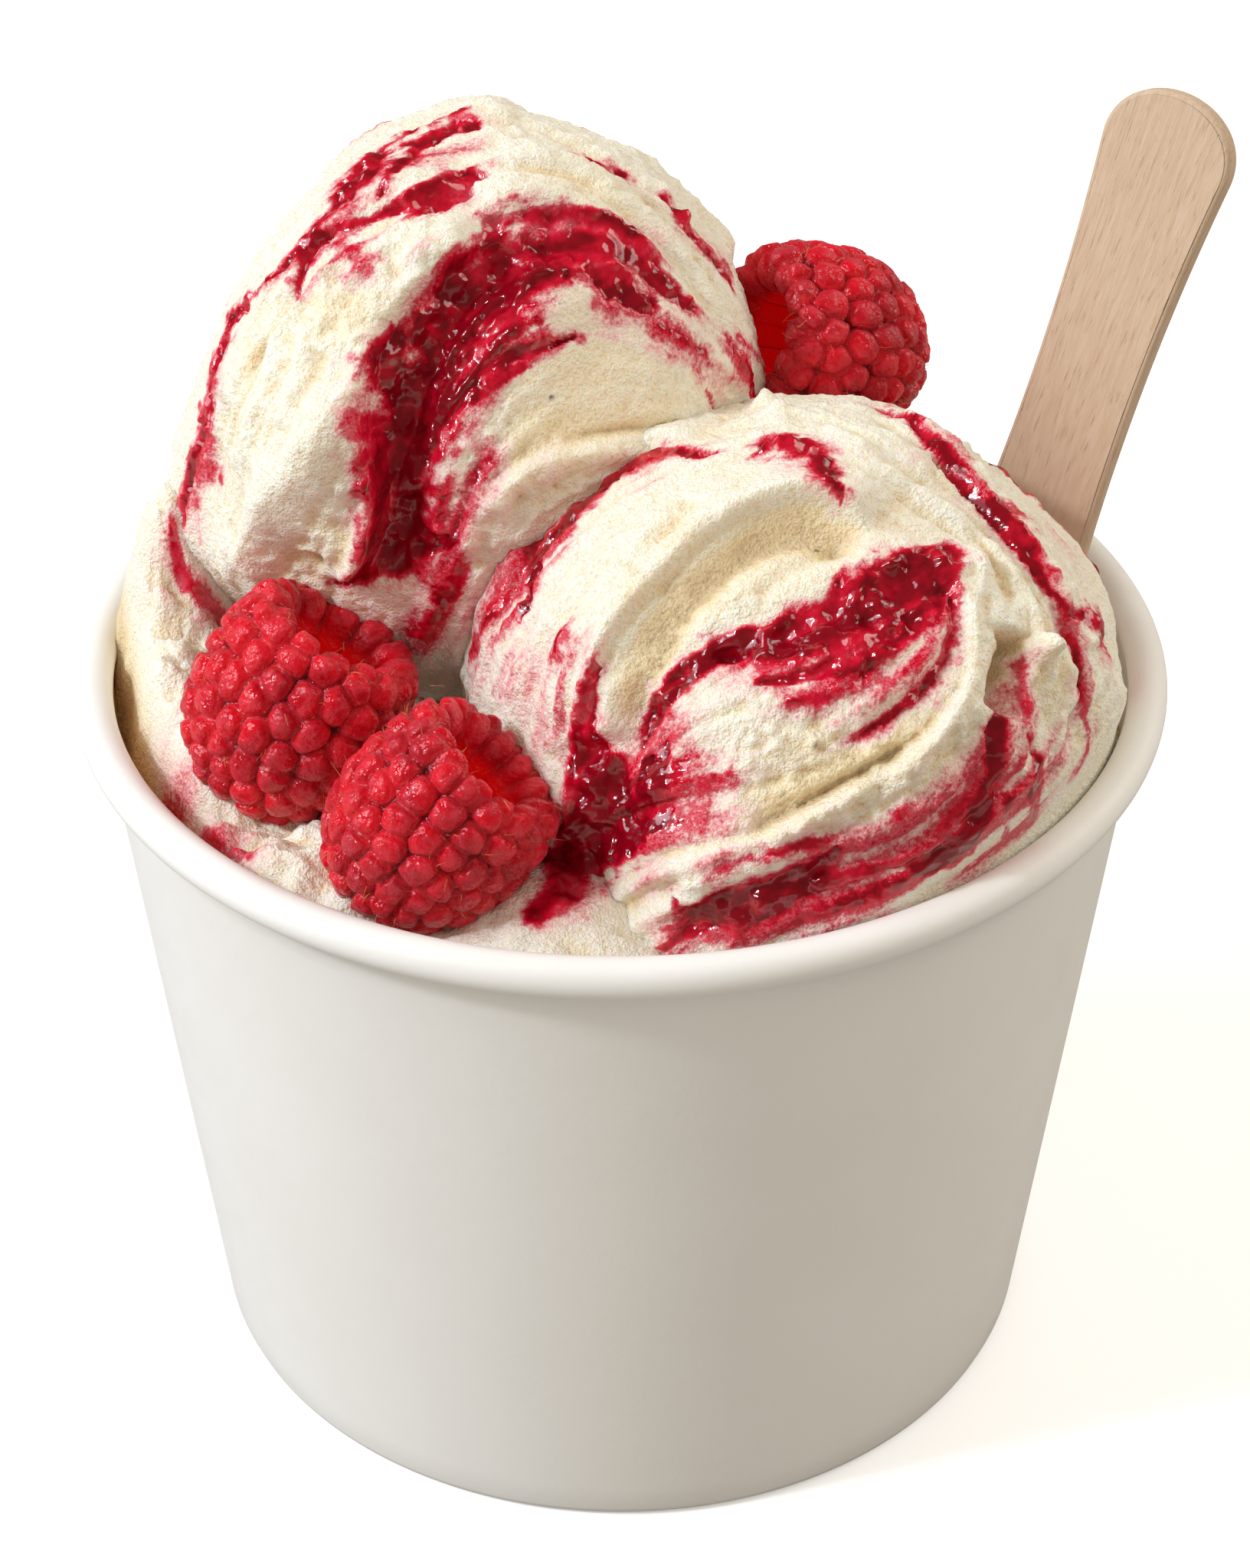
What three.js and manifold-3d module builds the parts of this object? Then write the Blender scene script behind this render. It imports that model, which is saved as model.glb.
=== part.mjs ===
// A white paper cup of ripple gelato: two scoops on a packed fill, three raspberries and a flat wooden spoon.
// Millimetres, +Z up. The foot of the cup stands on z = 0 and the middle of the whole lies over the origin.
// Forms are worked out about the cup's own axis, and a group moves them all by half the spoon's overhang.

import * as THREE from 'three';
import { mergeVertices } from 'three/addons/utils/BufferGeometryUtils.js';
import Module from 'manifold-3d';

const wasm = await Module();
wasm.setup();

// ---------- driving dimensions ----------

const gap = 0.3; // left between pieces that touch
const spoonOverhang = 4; // how far the spoon's top reaches past the rim

const cup = {
  rimRadius: 47.5,
  height: 68.6,
  footRadius: 38.25,
  shoulderRadius: 45.4, // outside of the wall under the rolled rim
  bead: 1.7, // radius of the rolled rim
  paper: 0.7,
  hemHeight: 6.5, // the wall turned up inside the foot
  hemSlot: 1.2, // room in the fold for the base's flange
  baseHeight: 8, // underside of the base above the table
  flange: 0.6,
  sides: 48,
};

const fill = {
  level: 62.5, // the packed gelato beside the wall
  rings: 10,
  sides: 38,
};

// Mounds and dips of the packed gelato: where, how wide and how high.
const mounds = [
  { x: 19, y: 21, spread: 11, rise: 9 }, // carries the raspberry at the back
  { x: -27, y: -29, spread: 9, rise: 5 }, // in front of the two raspberries
  { x: -33, y: -17, spread: 6, rise: 5 },
  { x: -4, y: -33, spread: 12, rise: 4 },
  { x: -39.5, y: 3, spread: 6.4, rise: 20 }, // squeezed up beside the back scoop
  { x: -40, y: -9, spread: 7, rise: 9 },
  { x: -40, y: 13, spread: 7, rise: -3 },
  { x: 6, y: 38, spread: 9, rise: -4 },
  { x: 36, y: 24, spread: 7, rise: -4 },
];

// Directions on a scoop are [azimuth, elevation] in degrees from its centre.
// A lobe swells the scoop round one direction, over `spread` degrees.
// A ledge is a sheet that stands `rise` proud on the left of its path and thins out over `run`.
// A ridge follows its path, and a negative rise makes it a channel.
const backScoop = {
  centre: [-13.1, 13, 84.4],
  radius: 25.7,
  lobes: [
    { at: [168, 30], spread: 30, rise: -4 },
    { at: [148, 54], spread: 18, rise: -2 }, // flattened over the shoulder
    { at: [-160, -16], spread: 16, rise: 3 }, // hangs over the packed gelato
    { at: [88, 68], spread: 11, rise: 0.5 },
    { at: [56, 58], spread: 11, rise: -1.5 },
    { at: [-68, 30], spread: 26, rise: -1.2 }, // the smooth dragged hollow
    { at: [-118, 22], spread: 16, rise: 1.1 },
    { at: [17, 29], spread: 4, rise: 1.3 },
  ],
  ledges: [
    {
      path: [[-113, -10], [-106, 4], [-106, 16], [-109, 29], [-108, 42], [-97, 54], [-75, 62]],
      rise: 2.4,
      run: 11,
    },
    { path: [[-128, -24], [-150, -31], [-157, -23], [-164, -14], [-168, -2]], rise: -2.4, run: 6 },
    { path: [[-37, 14], [-56, 19], [-72, 19], [-84, 13], [-92, 0]], rise: 1.5, run: 6 },
    { path: [[-134, 40], [-139, 51], [-130, 59], [-112, 67], [-80, 74]], rise: 1, run: 6 },
    { path: [[-16, 10], [-17, 36], [-14, 52], [-10, 67], [-17, 85]], rise: 0.9, run: 7 },
    { path: [[60, 8], [84, 22], [112, 25], [142, 14]], rise: 1.8, run: 9 },
    { path: [[20, 20], [58, 40], [105, 45], [150, 42]], rise: 1.2, run: 8 },
  ],
  ridges: [
    {
      path: [[-41, 53], [-65, 59], [-85, 51], [-96, 40], [-100, 29], [-102, 16], [-101, 5], [-109, -6]],
      rise: -2,
      width: 2.4,
    },
    { path: [[-145, -21], [-129, 3], [-119, 18], [-114, 30]], rise: 1.6, width: 3.2 },
    { path: [[30, -8], [62, -4], [96, 4], [128, 0]], rise: -1.3, width: 2 },
  ],
};

const frontScoop = {
  centre: [15.1, -11.6, 66.6],
  radius: 27.3,
  lobes: [
    { at: [166, 26], spread: 28, rise: 2 },
    { at: [26, 44], spread: 18, rise: -1 },
    { at: [102, 60], spread: 5, rise: 1 },
    { at: [69, 60], spread: 6, rise: 0.6 },
    { at: [-36, 36], spread: 3, rise: 1.4 }, // a nub beside the crack
    { at: [-112, -8], spread: 16, rise: 2.6 }, // smeared out towards the raspberries
    { at: [-100, 62], spread: 15, rise: -1 }, // hollow inside the curl
    { at: [-62, 40], spread: 16, rise: 0.8 },
  ],
  ledges: [
    {
      path: [[-135, 22], [-138, 34], [-139, 43], [-137, 55], [-132, 67], [-110, 75], [-74, 75], [-59, 68]],
      rise: 2.3,
      run: 8,
    },
    {
      path: [[-50, 60], [-49, 48], [-56, 39], [-67, 32], [-82, 26], [-97, 18], [-111, 12], [-125, 0]],
      rise: 1.7,
      run: 7,
    },
    { path: [[67, 60], [19, 66], [-7, 58], [-20, 46], [-27, 33], [-35, 20]], rise: 1.3, run: 7 },
    { path: [[-168, 20], [-174, 35], [178, 41], [169, 49], [159, 59], [158, 71]], rise: 1.6, run: 9 },
    { path: [[10, 6], [32, 26], [62, 36], [96, 34]], rise: 1.7, run: 8 },
    { path: [[26, -8], [50, 10], [80, 17], [110, 14]], rise: 1.2, run: 7 },
  ],
  ridges: [
    {
      path: [[-44, 57], [-65, 56], [-87, 54], [-106, 49], [-119, 43], [-124, 34], [-125, 20]],
      rise: -1.5,
      width: 2,
    },
    { path: [[-135, 26], [-130, 19], [-127, 12], [-133, 0]], rise: -2, width: 3 },
    { path: [[-40, 42], [-47, 37], [-53, 31]], rise: -2.2, width: 1.6 },
    { path: [[-58, 32], [-64, 22], [-75, 15], [-90, 11], [-104, 4], [-113, -4]], rise: -1.2, width: 2 },
  ],
};

const ball = {
  cells: 14, // facets along one side of each of the six faces
  topBias: 0.55, // draws the facets towards the part that shows
};

// Raspberries: the centre, the way from tip to mouth, and the size against the common form below.
const berries = [
  {
    name: 'raspberry_left',
    centre: [-26.8, -16.4, 72.6],
    axis: [0.526, 0.167, 0.835],
    size: 0.97,
    turn: 0.2,
  },
  {
    name: 'raspberry_front',
    centre: [-14.8, -31.4, 71.6],
    axis: [0.677, 0.091, 0.727],
    size: 0.91,
    turn: 1.1,
  },
  {
    name: 'raspberry_back',
    centre: [17.8, 18.5, 87.7],
    axis: [-0.83, -0.4, 0.38],
    size: 0.93,
    turn: 0.6,
  },
];

const berryForm = {
  radius: 8.8,
  tipLength: 10.4, // widest ring to the tip
  mouthLength: 7.9, // widest ring to the lip
  lipRadius: 6.7,
  hollowRadius: 4.6,
  lipDepth: 2.1,
  hollowDepth: 10.5,
  pitch: 3.5, // from one drupelet to the next
  drupeletRise: 0.9,
  aroundMouth: 13, // drupelets in a ring
};

const spoon = {
  foot: [35.17, 10, 67.44], // a point on the middle line, level with the rim
  up: [0.258, 0.096, 0.961],
  across: [0.78, -0.608, -0.148],
  thickness: 1.8,
  reachUp: 47.5,
  reachDown: 46,
  waist: 4.97, // half the width at its narrowest
  waistAt: 19.6,
  flare: 0.9, // grows with the square of the distance from the waist, in steps of 20
  endRadius: 5.8,
  paddle: 8.4, // half the widest width of the end in the gelato
};

// ---------- small helpers ----------

const degrees = Math.PI / 180;

function direction([azimuth, elevation]) {
  const level = Math.cos(elevation * degrees);
  return new THREE.Vector3(
    level * Math.cos(azimuth * degrees),
    level * Math.sin(azimuth * degrees),
    Math.sin(elevation * degrees),
  );
}

function smoothStep(low, high, value) {
  const t = Math.min(1, Math.max(0, (value - low) / (high - low)));
  return t * t * (3 - 2 * t);
}

// A closed geometry with shared corners, holding positions only.
function weld(geometry) {
  geometry.deleteAttribute('normal');
  geometry.deleteAttribute('uv');
  return mergeVertices(geometry, 1e-4);
}

function toSolid(geometry) {
  const welded = weld(geometry);
  return new wasm.Manifold(
    new wasm.Mesh({
      numProp: 3,
      vertProperties: new Float32Array(welded.attributes.position.array),
      triVerts: new Uint32Array(welded.index.array),
    }),
  );
}

// The largest piece of a cut solid, without the scraps that a cut can leave.
function mainPiece(solid) {
  const pieces = solid.decompose().sort((a, b) => b.volume() - a.volume());
  return pieces[0];
}

function toGeometry(solid) {
  const { numProp, vertProperties, triVerts } = solid.getMesh();
  const positions = new Float32Array((vertProperties.length / numProp) * 3);
  for (let i = 0; i < positions.length / 3; i += 1) {
    for (let k = 0; k < 3; k += 1) {
      positions[i * 3 + k] = vertProperties[i * numProp + k];
    }
  }
  const geometry = new THREE.BufferGeometry();
  geometry.setAttribute('position', new THREE.BufferAttribute(positions, 3));
  geometry.setIndex(new THREE.BufferAttribute(new Uint32Array(triVerts), 1));
  geometry.computeVertexNormals();
  return geometry;
}

// A grid that closes round in its columns and ends in a point at its first and last row.
function cappedGrid(columns, rows, pointAt) {
  const points = [pointAt(0, 0)];
  for (let row = 1; row < rows; row += 1) {
    for (let column = 0; column < columns; column += 1) {
      points.push(pointAt(column / columns, row / rows));
    }
  }
  points.push(pointAt(0, 1));
  const last = points.length - 1;
  const index = [];
  const at = (row, column) => 1 + (row - 1) * columns + (column % columns);
  for (let column = 0; column < columns; column += 1) {
    index.push(0, at(1, column + 1), at(1, column));
    for (let row = 1; row < rows - 1; row += 1) {
      index.push(at(row, column), at(row, column + 1), at(row + 1, column));
      index.push(at(row, column + 1), at(row + 1, column + 1), at(row + 1, column));
    }
    index.push(last, at(rows - 1, column), at(rows - 1, column + 1));
  }
  const geometry = new THREE.BufferGeometry();
  geometry.setAttribute('position', new THREE.Float32BufferAttribute(points.flatMap((p) => p.toArray()), 3));
  geometry.setIndex(index);
  return geometry;
}

// ---------- paper cup ----------

// Radius of the wall's outside at a height.
function wallRadius(z) {
  const slope = (cup.shoulderRadius - cup.footRadius) / (cup.height - cup.bead);
  return cup.footRadius + slope * z;
}

function latheSolid(points, sides) {
  const geometry = new THREE.LatheGeometry(points, sides);
  geometry.rotateX(Math.PI / 2); // the lathe turns about Y
  return toSolid(geometry);
}

// One sheet: up the outside, round the rolled rim, down the inside and into the folded hem at the foot.
function cupWall() {
  const beadCentre = new THREE.Vector2(cup.rimRadius - cup.bead, cup.height - cup.bead);
  const bead = [];
  const beadSteps = 6;
  for (let i = 0; i <= beadSteps; i += 1) {
    const angle = (-90 + (i / beadSteps) * 270) * degrees;
    bead.push(
      new THREE.Vector2(beadCentre.x + cup.bead * Math.cos(angle), beadCentre.y + cup.bead * Math.sin(angle)),
    );
  }
  const inside = (z) => wallRadius(z) - cup.paper;
  const points = [
    new THREE.Vector2(cup.footRadius, 0),
    new THREE.Vector2(wallRadius(beadCentre.y - cup.bead), beadCentre.y - cup.bead),
    ...bead,
    new THREE.Vector2(inside(beadCentre.y - cup.bead), beadCentre.y - cup.bead),
    new THREE.Vector2(inside(cup.paper), cup.paper),
    new THREE.Vector2(inside(cup.paper) - cup.hemSlot, cup.paper),
    new THREE.Vector2(inside(cup.hemHeight) - cup.hemSlot, cup.hemHeight),
    new THREE.Vector2(inside(cup.hemHeight) - cup.hemSlot - cup.paper, cup.hemHeight),
    new THREE.Vector2(inside(0) - cup.hemSlot - cup.paper, 0),
    new THREE.Vector2(cup.footRadius, 0),
  ];
  return latheSolid(points, cup.sides);
}

// The base is a shallow paper lid pushed up into the foot, its flange held in the hem.
function cupBase() {
  const outside = (z) => wallRadius(z) - cup.paper - gap;
  const top = cup.baseHeight + cup.paper;
  const flangeFoot = cup.paper + gap;
  const points = [
    new THREE.Vector2(0, cup.baseHeight),
    new THREE.Vector2(outside(cup.baseHeight) - cup.flange, cup.baseHeight),
    new THREE.Vector2(outside(flangeFoot) - cup.flange, flangeFoot),
    new THREE.Vector2(outside(flangeFoot), flangeFoot),
    new THREE.Vector2(outside(top), top),
    new THREE.Vector2(0, top),
  ];
  return latheSolid(points, cup.sides);
}

// What the cup can hold, with the gap left at its wall, and open above the rim.
function cupRoom(clearance) {
  const floor = cup.baseHeight + cup.paper + gap;
  const neck = cup.height - 2 * cup.bead;
  const beadInside = cup.rimRadius - 2 * cup.bead - clearance;
  const reach = 70;
  const sky = 130;
  const points = [
    new THREE.Vector2(0, floor),
    new THREE.Vector2(wallRadius(floor) - cup.paper - clearance, floor),
    new THREE.Vector2(wallRadius(neck) - cup.paper - clearance, neck - clearance),
    new THREE.Vector2(beadInside, neck + cup.bead),
    new THREE.Vector2(beadInside, cup.height),
    new THREE.Vector2(cup.rimRadius, cup.height + 10),
    new THREE.Vector2(reach, cup.height + 12),
    new THREE.Vector2(reach, sky),
    new THREE.Vector2(0, sky),
  ];
  return latheSolid(points, cup.sides);
}

// ---------- scoops ----------

// A path through directions, as short steps between unit vectors.
function pathOnBall(path) {
  const curve = new THREE.CatmullRomCurve3(path.map(direction), false, 'centripetal');
  return curve.getPoints(path.length * 4).map((point) => point.normalize());
}

// Distance in millimetres from a direction to a path, positive on the left, and how far along it lies.
function placeOnPath(steps, way, radius) {
  let best = { away: Infinity, along: 0, side: 1 };
  for (let i = 0; i < steps.length - 1; i += 1) {
    const from = steps[i];
    const leg = steps[i + 1].clone().sub(from);
    const t = Math.min(1, Math.max(0, way.clone().sub(from).dot(leg) / leg.lengthSq()));
    const away = way.distanceTo(from.clone().addScaledVector(leg, t)) * radius;
    if (away < best.away) {
      const side = way.dot(from.clone().cross(steps[i + 1])) >= 0 ? 1 : -1;
      best = { away, along: (i + t) / (steps.length - 1), side };
    }
  }
  return best;
}

function fadeAtEnds(along) {
  return smoothStep(0, 0.12, along) * smoothStep(1, 0.88, along);
}

function scoopSurface(scoop) {
  const lobes = scoop.lobes.map((lobe) => ({ ...lobe, way: direction(lobe.at) }));
  const ledges = scoop.ledges.map((ledge) => ({ ...ledge, steps: pathOnBall(ledge.path) }));
  const ridges = scoop.ridges.map((ridge) => ({ ...ridge, steps: pathOnBall(ridge.path) }));
  return (way) => {
    let radius = scoop.radius;
    for (const lobe of lobes) {
      radius += lobe.rise * Math.exp(-((way.angleTo(lobe.way) / (lobe.spread * degrees)) ** 2));
    }
    for (const ledge of ledges) {
      const { away, along, side } = placeOnPath(ledge.steps, way, scoop.radius);
      const sheet = smoothStep(-0.8, 0.8, away * side) * Math.exp(-Math.max(0, away * side) / ledge.run);
      radius += ledge.rise * sheet * fadeAtEnds(along);
    }
    for (const ridge of ridges) {
      const { away, along } = placeOnPath(ridge.steps, way, scoop.radius);
      radius += ridge.rise * Math.exp(-((away / ridge.width) ** 2)) * fadeAtEnds(along);
    }
    return radius;
  };
}

// The scoop as a closed ball of facets, grown all over by `grow`.
function scoopSolid(scoop, grow) {
  const radiusAt = scoopSurface(scoop);
  const geometry = weld(new THREE.BoxGeometry(2, 2, 2, ball.cells, ball.cells, ball.cells));
  const position = geometry.attributes.position;
  const way = new THREE.Vector3();
  for (let i = 0; i < position.count; i += 1) {
    way.fromBufferAttribute(position, i);
    way.set(...way.toArray().map((side) => Math.tan((side * Math.PI) / 4))).normalize();
    way.z += ball.topBias;
    way.normalize();
    const radius = radiusAt(way) + grow;
    position.setXYZ(i, ...way.multiplyScalar(radius).toArray());
  }
  geometry.translate(...scoop.centre);
  return toSolid(geometry);
}

// ---------- packed fill ----------

function fillTop(x, y) {
  let z = fill.level;
  for (const mound of mounds) {
    const away = Math.hypot(x - mound.x, y - mound.y);
    z += mound.rise * Math.exp(-((away / mound.spread) ** 2));
  }
  return z + 0.7 * Math.sin(x / 4.3) * Math.cos(y / 3.7);
}

// The gelato packed in the cup: across the base, up the wall and back over its uneven top.
function fillSolid() {
  const floor = cup.baseHeight + cup.paper + gap;
  const wallRows = 3;
  const rows = wallRows + fill.rings + 1;
  return toSolid(
    cappedGrid(fill.sides, rows, (turn, climb) => {
      const row = Math.round(climb * rows);
      const angle = turn * 2 * Math.PI;
      const inward = Math.max(0, row - wallRows) / (fill.rings + 1);
      const level = floor + (fill.level - floor) * Math.min(1, Math.max(0, row - 1) / (wallRows - 1));
      const radius = row === 0 ? 0 : (wallRadius(level) - cup.paper - gap) * (1 - inward);
      const x = radius * Math.cos(angle);
      const y = radius * Math.sin(angle);
      return new THREE.Vector3(x, y, row < wallRows ? level : fillTop(x, y));
    }),
  );
}

// ---------- raspberries ----------

// The outline of a raspberry from its tip, over the lip and down the hollow, at a share of the way.
function berryProfile(share) {
  const form = berryForm;
  const lipFoot = form.mouthLength - form.lipDepth;
  const shoulder = form.radius - form.lipRadius;
  const lipWidth = form.lipRadius - form.hollowRadius;
  const arcs = [
    { x: 0, z: 0, wide: form.radius, high: form.tipLength, from: -90, to: 0, share: 0.46 },
    { x: form.lipRadius, z: 0, wide: shoulder, high: form.mouthLength, from: 0, to: 90, share: 0.25 },
    { x: form.lipRadius, z: lipFoot, wide: lipWidth, high: form.lipDepth, from: 90, to: 180, share: 0.07 },
    { x: 0, z: lipFoot, wide: form.hollowRadius, high: -form.hollowDepth, from: 0, to: 90, share: 0.22 },
  ];
  let left = share;
  let arc = arcs[0];
  for (arc of arcs) {
    if (left <= arc.share + 1e-9) break;
    left -= arc.share;
  }
  const angle = (arc.from + (arc.to - arc.from) * Math.min(1, left / arc.share)) * degrees;
  const x = Math.max(0, arc.x + arc.wide * Math.cos(angle));
  return new THREE.Vector2(x, arc.z + arc.high * Math.sin(angle));
}

// Points at even steps along the outline, each with the way out of the surface.
function berryRows() {
  const samples = 600;
  const outside = 0.78; // of the outline, up to where the hollow begins
  const rows = [];
  let run = 0;
  let next = 0;
  for (let i = 0; i <= samples; i += 1) {
    const share = i / samples;
    const here = berryProfile(share);
    const before = berryProfile(Math.max(0, share - 1 / samples));
    const after = berryProfile(Math.min(1, share + 1 / samples));
    run += here.distanceTo(before);
    if (run >= next || i === samples) {
      const along = after.clone().sub(before).normalize();
      const out = i === 0 ? new THREE.Vector2(0, -1) : new THREE.Vector2(along.y, -along.x);
      rows.push({ here, out, hollow: share > outside });
      next += share > outside ? berryForm.pitch * 0.8 : berryForm.pitch * 0.465;
    }
  }
  return rows;
}

// Every other row carries a ring of drupelets, and each ring is half a drupelet round from the last.
function berrySolid(berry) {
  const form = berryForm;
  const rows = berryRows();
  const columns = form.aroundMouth * 2;
  const geometry = cappedGrid(columns, rows.length - 1, (turn, climb) => {
    const row = Math.round(climb * (rows.length - 1));
    const { here, out, hollow } = rows[row];
    const ring = Math.floor(row / 2);
    const onDrupelet = (Math.round(turn * columns) + ring) % 2 === 0;
    const crown = row % 2 === 0 && onDrupelet ? 1 : 0;
    const saddle = row % 2 === 1 ? 0.4 : 0;
    const flute = Math.round(turn * columns) % 2 ? 0 : 0.35; // ribs down the hollow
    const rise = form.drupeletRise * (hollow ? flute : Math.max(crown, saddle));
    const radius = row === 0 || row === rows.length - 1 ? 0 : Math.max(0.2, here.x + out.x * rise);
    const angle = turn * 2 * Math.PI;
    return new THREE.Vector3(radius * Math.cos(angle), radius * Math.sin(angle), here.y + out.y * rise);
  });
  return toSolid(placeBerry(geometry, berry));
}

function placeBerry(geometry, berry) {
  geometry.rotateZ(berry.turn);
  geometry.scale(berry.size, berry.size, berry.size);
  const axis = new THREE.Vector3(...berry.axis).normalize();
  geometry.applyQuaternion(new THREE.Quaternion().setFromUnitVectors(new THREE.Vector3(0, 0, 1), axis));
  return geometry.translate(...berry.centre);
}

// The room that a berry takes in the gelato: its smooth outside, with the hollow filled in.
function berryRoom(berry) {
  const form = berryForm;
  const outside = 0.75; // of the outline, up to the top of the lip
  const grow = form.drupeletRise + 2 * gap; // one gap is lost between the facets
  const points = [];
  const steps = 9;
  for (let i = 0; i <= steps; i += 1) {
    const point = berryProfile((i / steps) * outside);
    const out = point.x < 1e-6 ? 0 : (point.x + grow) / point.x;
    const stretch = 1 + grow / (point.y < 0 ? form.tipLength : form.mouthLength);
    points.push(new THREE.Vector2(point.x * out, point.y * stretch));
  }
  points.push(new THREE.Vector2(0, form.mouthLength + grow));
  const sides = 18;
  const geometry = new THREE.LatheGeometry(points, sides);
  geometry.rotateX(Math.PI / 2);
  return toSolid(placeBerry(geometry, berry));
}

// ---------- wooden spoon ----------

// Half the spoon's width at a distance along it from the rim's level.
function spoonHalfWidth(along) {
  const flare = spoon.waist + spoon.flare * ((along - spoon.waistAt) / 20) ** 2;
  const top = spoon.reachUp - spoon.endRadius;
  const roundTop = along > top ? Math.sqrt(Math.max(0, 1 - ((along - top) / spoon.endRadius) ** 2)) : 1;
  const bottom = -spoon.reachDown + spoon.paddle;
  const roundFoot = along < bottom ? Math.sqrt(Math.max(0, 1 - ((along - bottom) / spoon.paddle) ** 2)) : 1;
  return Math.min(flare, along > 0 ? flare : spoon.paddle) * roundTop * roundFoot;
}

function spoonSolid(grow) {
  const stations = 30;
  const length = spoon.reachDown + spoon.reachUp;
  const right = [];
  for (let i = 0; i <= stations; i += 1) {
    const share = (1 - Math.cos((i / stations) * Math.PI)) / 2; // closer together towards the round ends
    const along = -spoon.reachDown - grow + share * (length + 2 * grow);
    right.push(new THREE.Vector2(spoonHalfWidth(-spoon.reachDown + share * length) + grow, along));
  }
  right[0].x = 0;
  right[stations].x = 0;
  const left = right.slice(1, stations).reverse().map((point) => new THREE.Vector2(-point.x, point.y));
  const depth = spoon.thickness + 2 * grow;
  const geometry = new THREE.ExtrudeGeometry(new THREE.Shape([...right, ...left]), {
    depth,
    bevelEnabled: false,
  });
  geometry.translate(0, 0, -depth / 2);
  const up = new THREE.Vector3(...spoon.up).normalize();
  const across = new THREE.Vector3(...spoon.across);
  across.addScaledVector(up, -across.dot(up)).normalize();
  const face = across.clone().cross(up);
  geometry.applyMatrix4(new THREE.Matrix4().makeBasis(across, up, face).setPosition(...spoon.foot));
  return toSolid(geometry);
}

// ---------- put together ----------

const paperWhite = { color: 0xf1efeb, roughness: 0.7, metalness: 0 };
const creamWhite = { color: 0xf0e4c4, roughness: 0.55, metalness: 0 };
const berryRed = { color: 0xb4122c, roughness: 0.4, metalness: 0 };
const paleWood = { color: 0xd8b186, roughness: 0.75, metalness: 0 };

const spoonSlot = spoonSolid(gap);
const berryRooms = berries.map(berryRoom);
const room = cupRoom(gap);

let front = scoopSolid(frontScoop, 0).intersect(room).subtract(spoonSlot);
let back = scoopSolid(backScoop, 0).intersect(room).subtract(spoonSlot).subtract(scoopSolid(frontScoop, gap));
let packed = fillSolid().intersect(room).subtract(spoonSlot);
packed = packed.subtract(scoopSolid(frontScoop, gap)).subtract(scoopSolid(backScoop, gap));
for (const berryHole of berryRooms) {
  front = front.subtract(berryHole);
  back = back.subtract(berryHole);
  packed = packed.subtract(berryHole);
}

const gelatoCup = new THREE.Group();
const aboutTheCup = new THREE.Group();
aboutTheCup.position.x = -spoonOverhang / 2;
gelatoCup.add(aboutTheCup);

function addPiece(name, solid, looks) {
  const mesh = new THREE.Mesh(toGeometry(mainPiece(solid)), new THREE.MeshStandardMaterial(looks));
  mesh.name = name;
  aboutTheCup.add(mesh);
}

addPiece('cup_wall', cupWall(), paperWhite);
addPiece('cup_base', cupBase(), paperWhite);
addPiece('gelato_fill', packed, creamWhite);
addPiece('scoop_back', back, creamWhite);
addPiece('scoop_front', front, creamWhite);
for (const berry of berries) {
  addPiece(berry.name, berrySolid(berry), berryRed);
}
addPiece('wooden_spoon', spoonSolid(0), paleWood);

export default gelatoCup;
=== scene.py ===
# A white paper cup of ripple gelato: two scoops on a packed fill, three raspberries and a flat wooden spoon.
# Shapes are worked out in millimetres about the cup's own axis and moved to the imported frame, in metres, at the end.

import math

import bpy
import numpy as np
from mathutils import Matrix, Vector


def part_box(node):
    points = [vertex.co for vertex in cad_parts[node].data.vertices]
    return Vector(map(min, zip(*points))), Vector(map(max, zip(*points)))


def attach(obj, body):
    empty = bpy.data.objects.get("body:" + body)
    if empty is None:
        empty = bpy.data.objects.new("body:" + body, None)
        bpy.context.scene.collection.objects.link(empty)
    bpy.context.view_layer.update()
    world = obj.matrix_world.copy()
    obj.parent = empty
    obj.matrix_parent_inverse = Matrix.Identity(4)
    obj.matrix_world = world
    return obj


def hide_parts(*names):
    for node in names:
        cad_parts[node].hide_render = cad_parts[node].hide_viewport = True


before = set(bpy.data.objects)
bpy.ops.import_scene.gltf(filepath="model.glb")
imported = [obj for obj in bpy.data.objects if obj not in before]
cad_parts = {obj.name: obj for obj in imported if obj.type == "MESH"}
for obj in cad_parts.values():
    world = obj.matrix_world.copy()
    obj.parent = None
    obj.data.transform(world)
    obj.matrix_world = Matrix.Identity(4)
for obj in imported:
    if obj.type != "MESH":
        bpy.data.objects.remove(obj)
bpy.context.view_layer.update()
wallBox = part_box("cup_wall")
mmPerMetre = 1000
cupAxis = np.array([wallBox[0].x + wallBox[1].x, wallBox[0].y + wallBox[1].y, 0]) / 2 * mmPerMetre
print("frame loaded, cup axis at", cupAxis.round(2), "mm")


# The photograph and its camera: width, height and focal length in pixels, the rest in millimetres.
photo = {
    "width": 1632,
    "height": 2048,
    "focal": 4690.6,
    "tilt": 34.966,  # degrees down from level
    "position": (0.394, -264.019, 237.773),
    "away": 322,  # from the lens to the middle of the gelato
    "sensor": 36,
}

tilt = math.radians(photo["tilt"])
lensAt = np.array(photo["position"])
lensRight = np.array([1.0, 0, 0])
lensUp = np.array([0, math.sin(tilt), math.cos(tilt)])
lensAhead = np.array([0, math.cos(tilt), -math.sin(tilt)])


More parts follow.
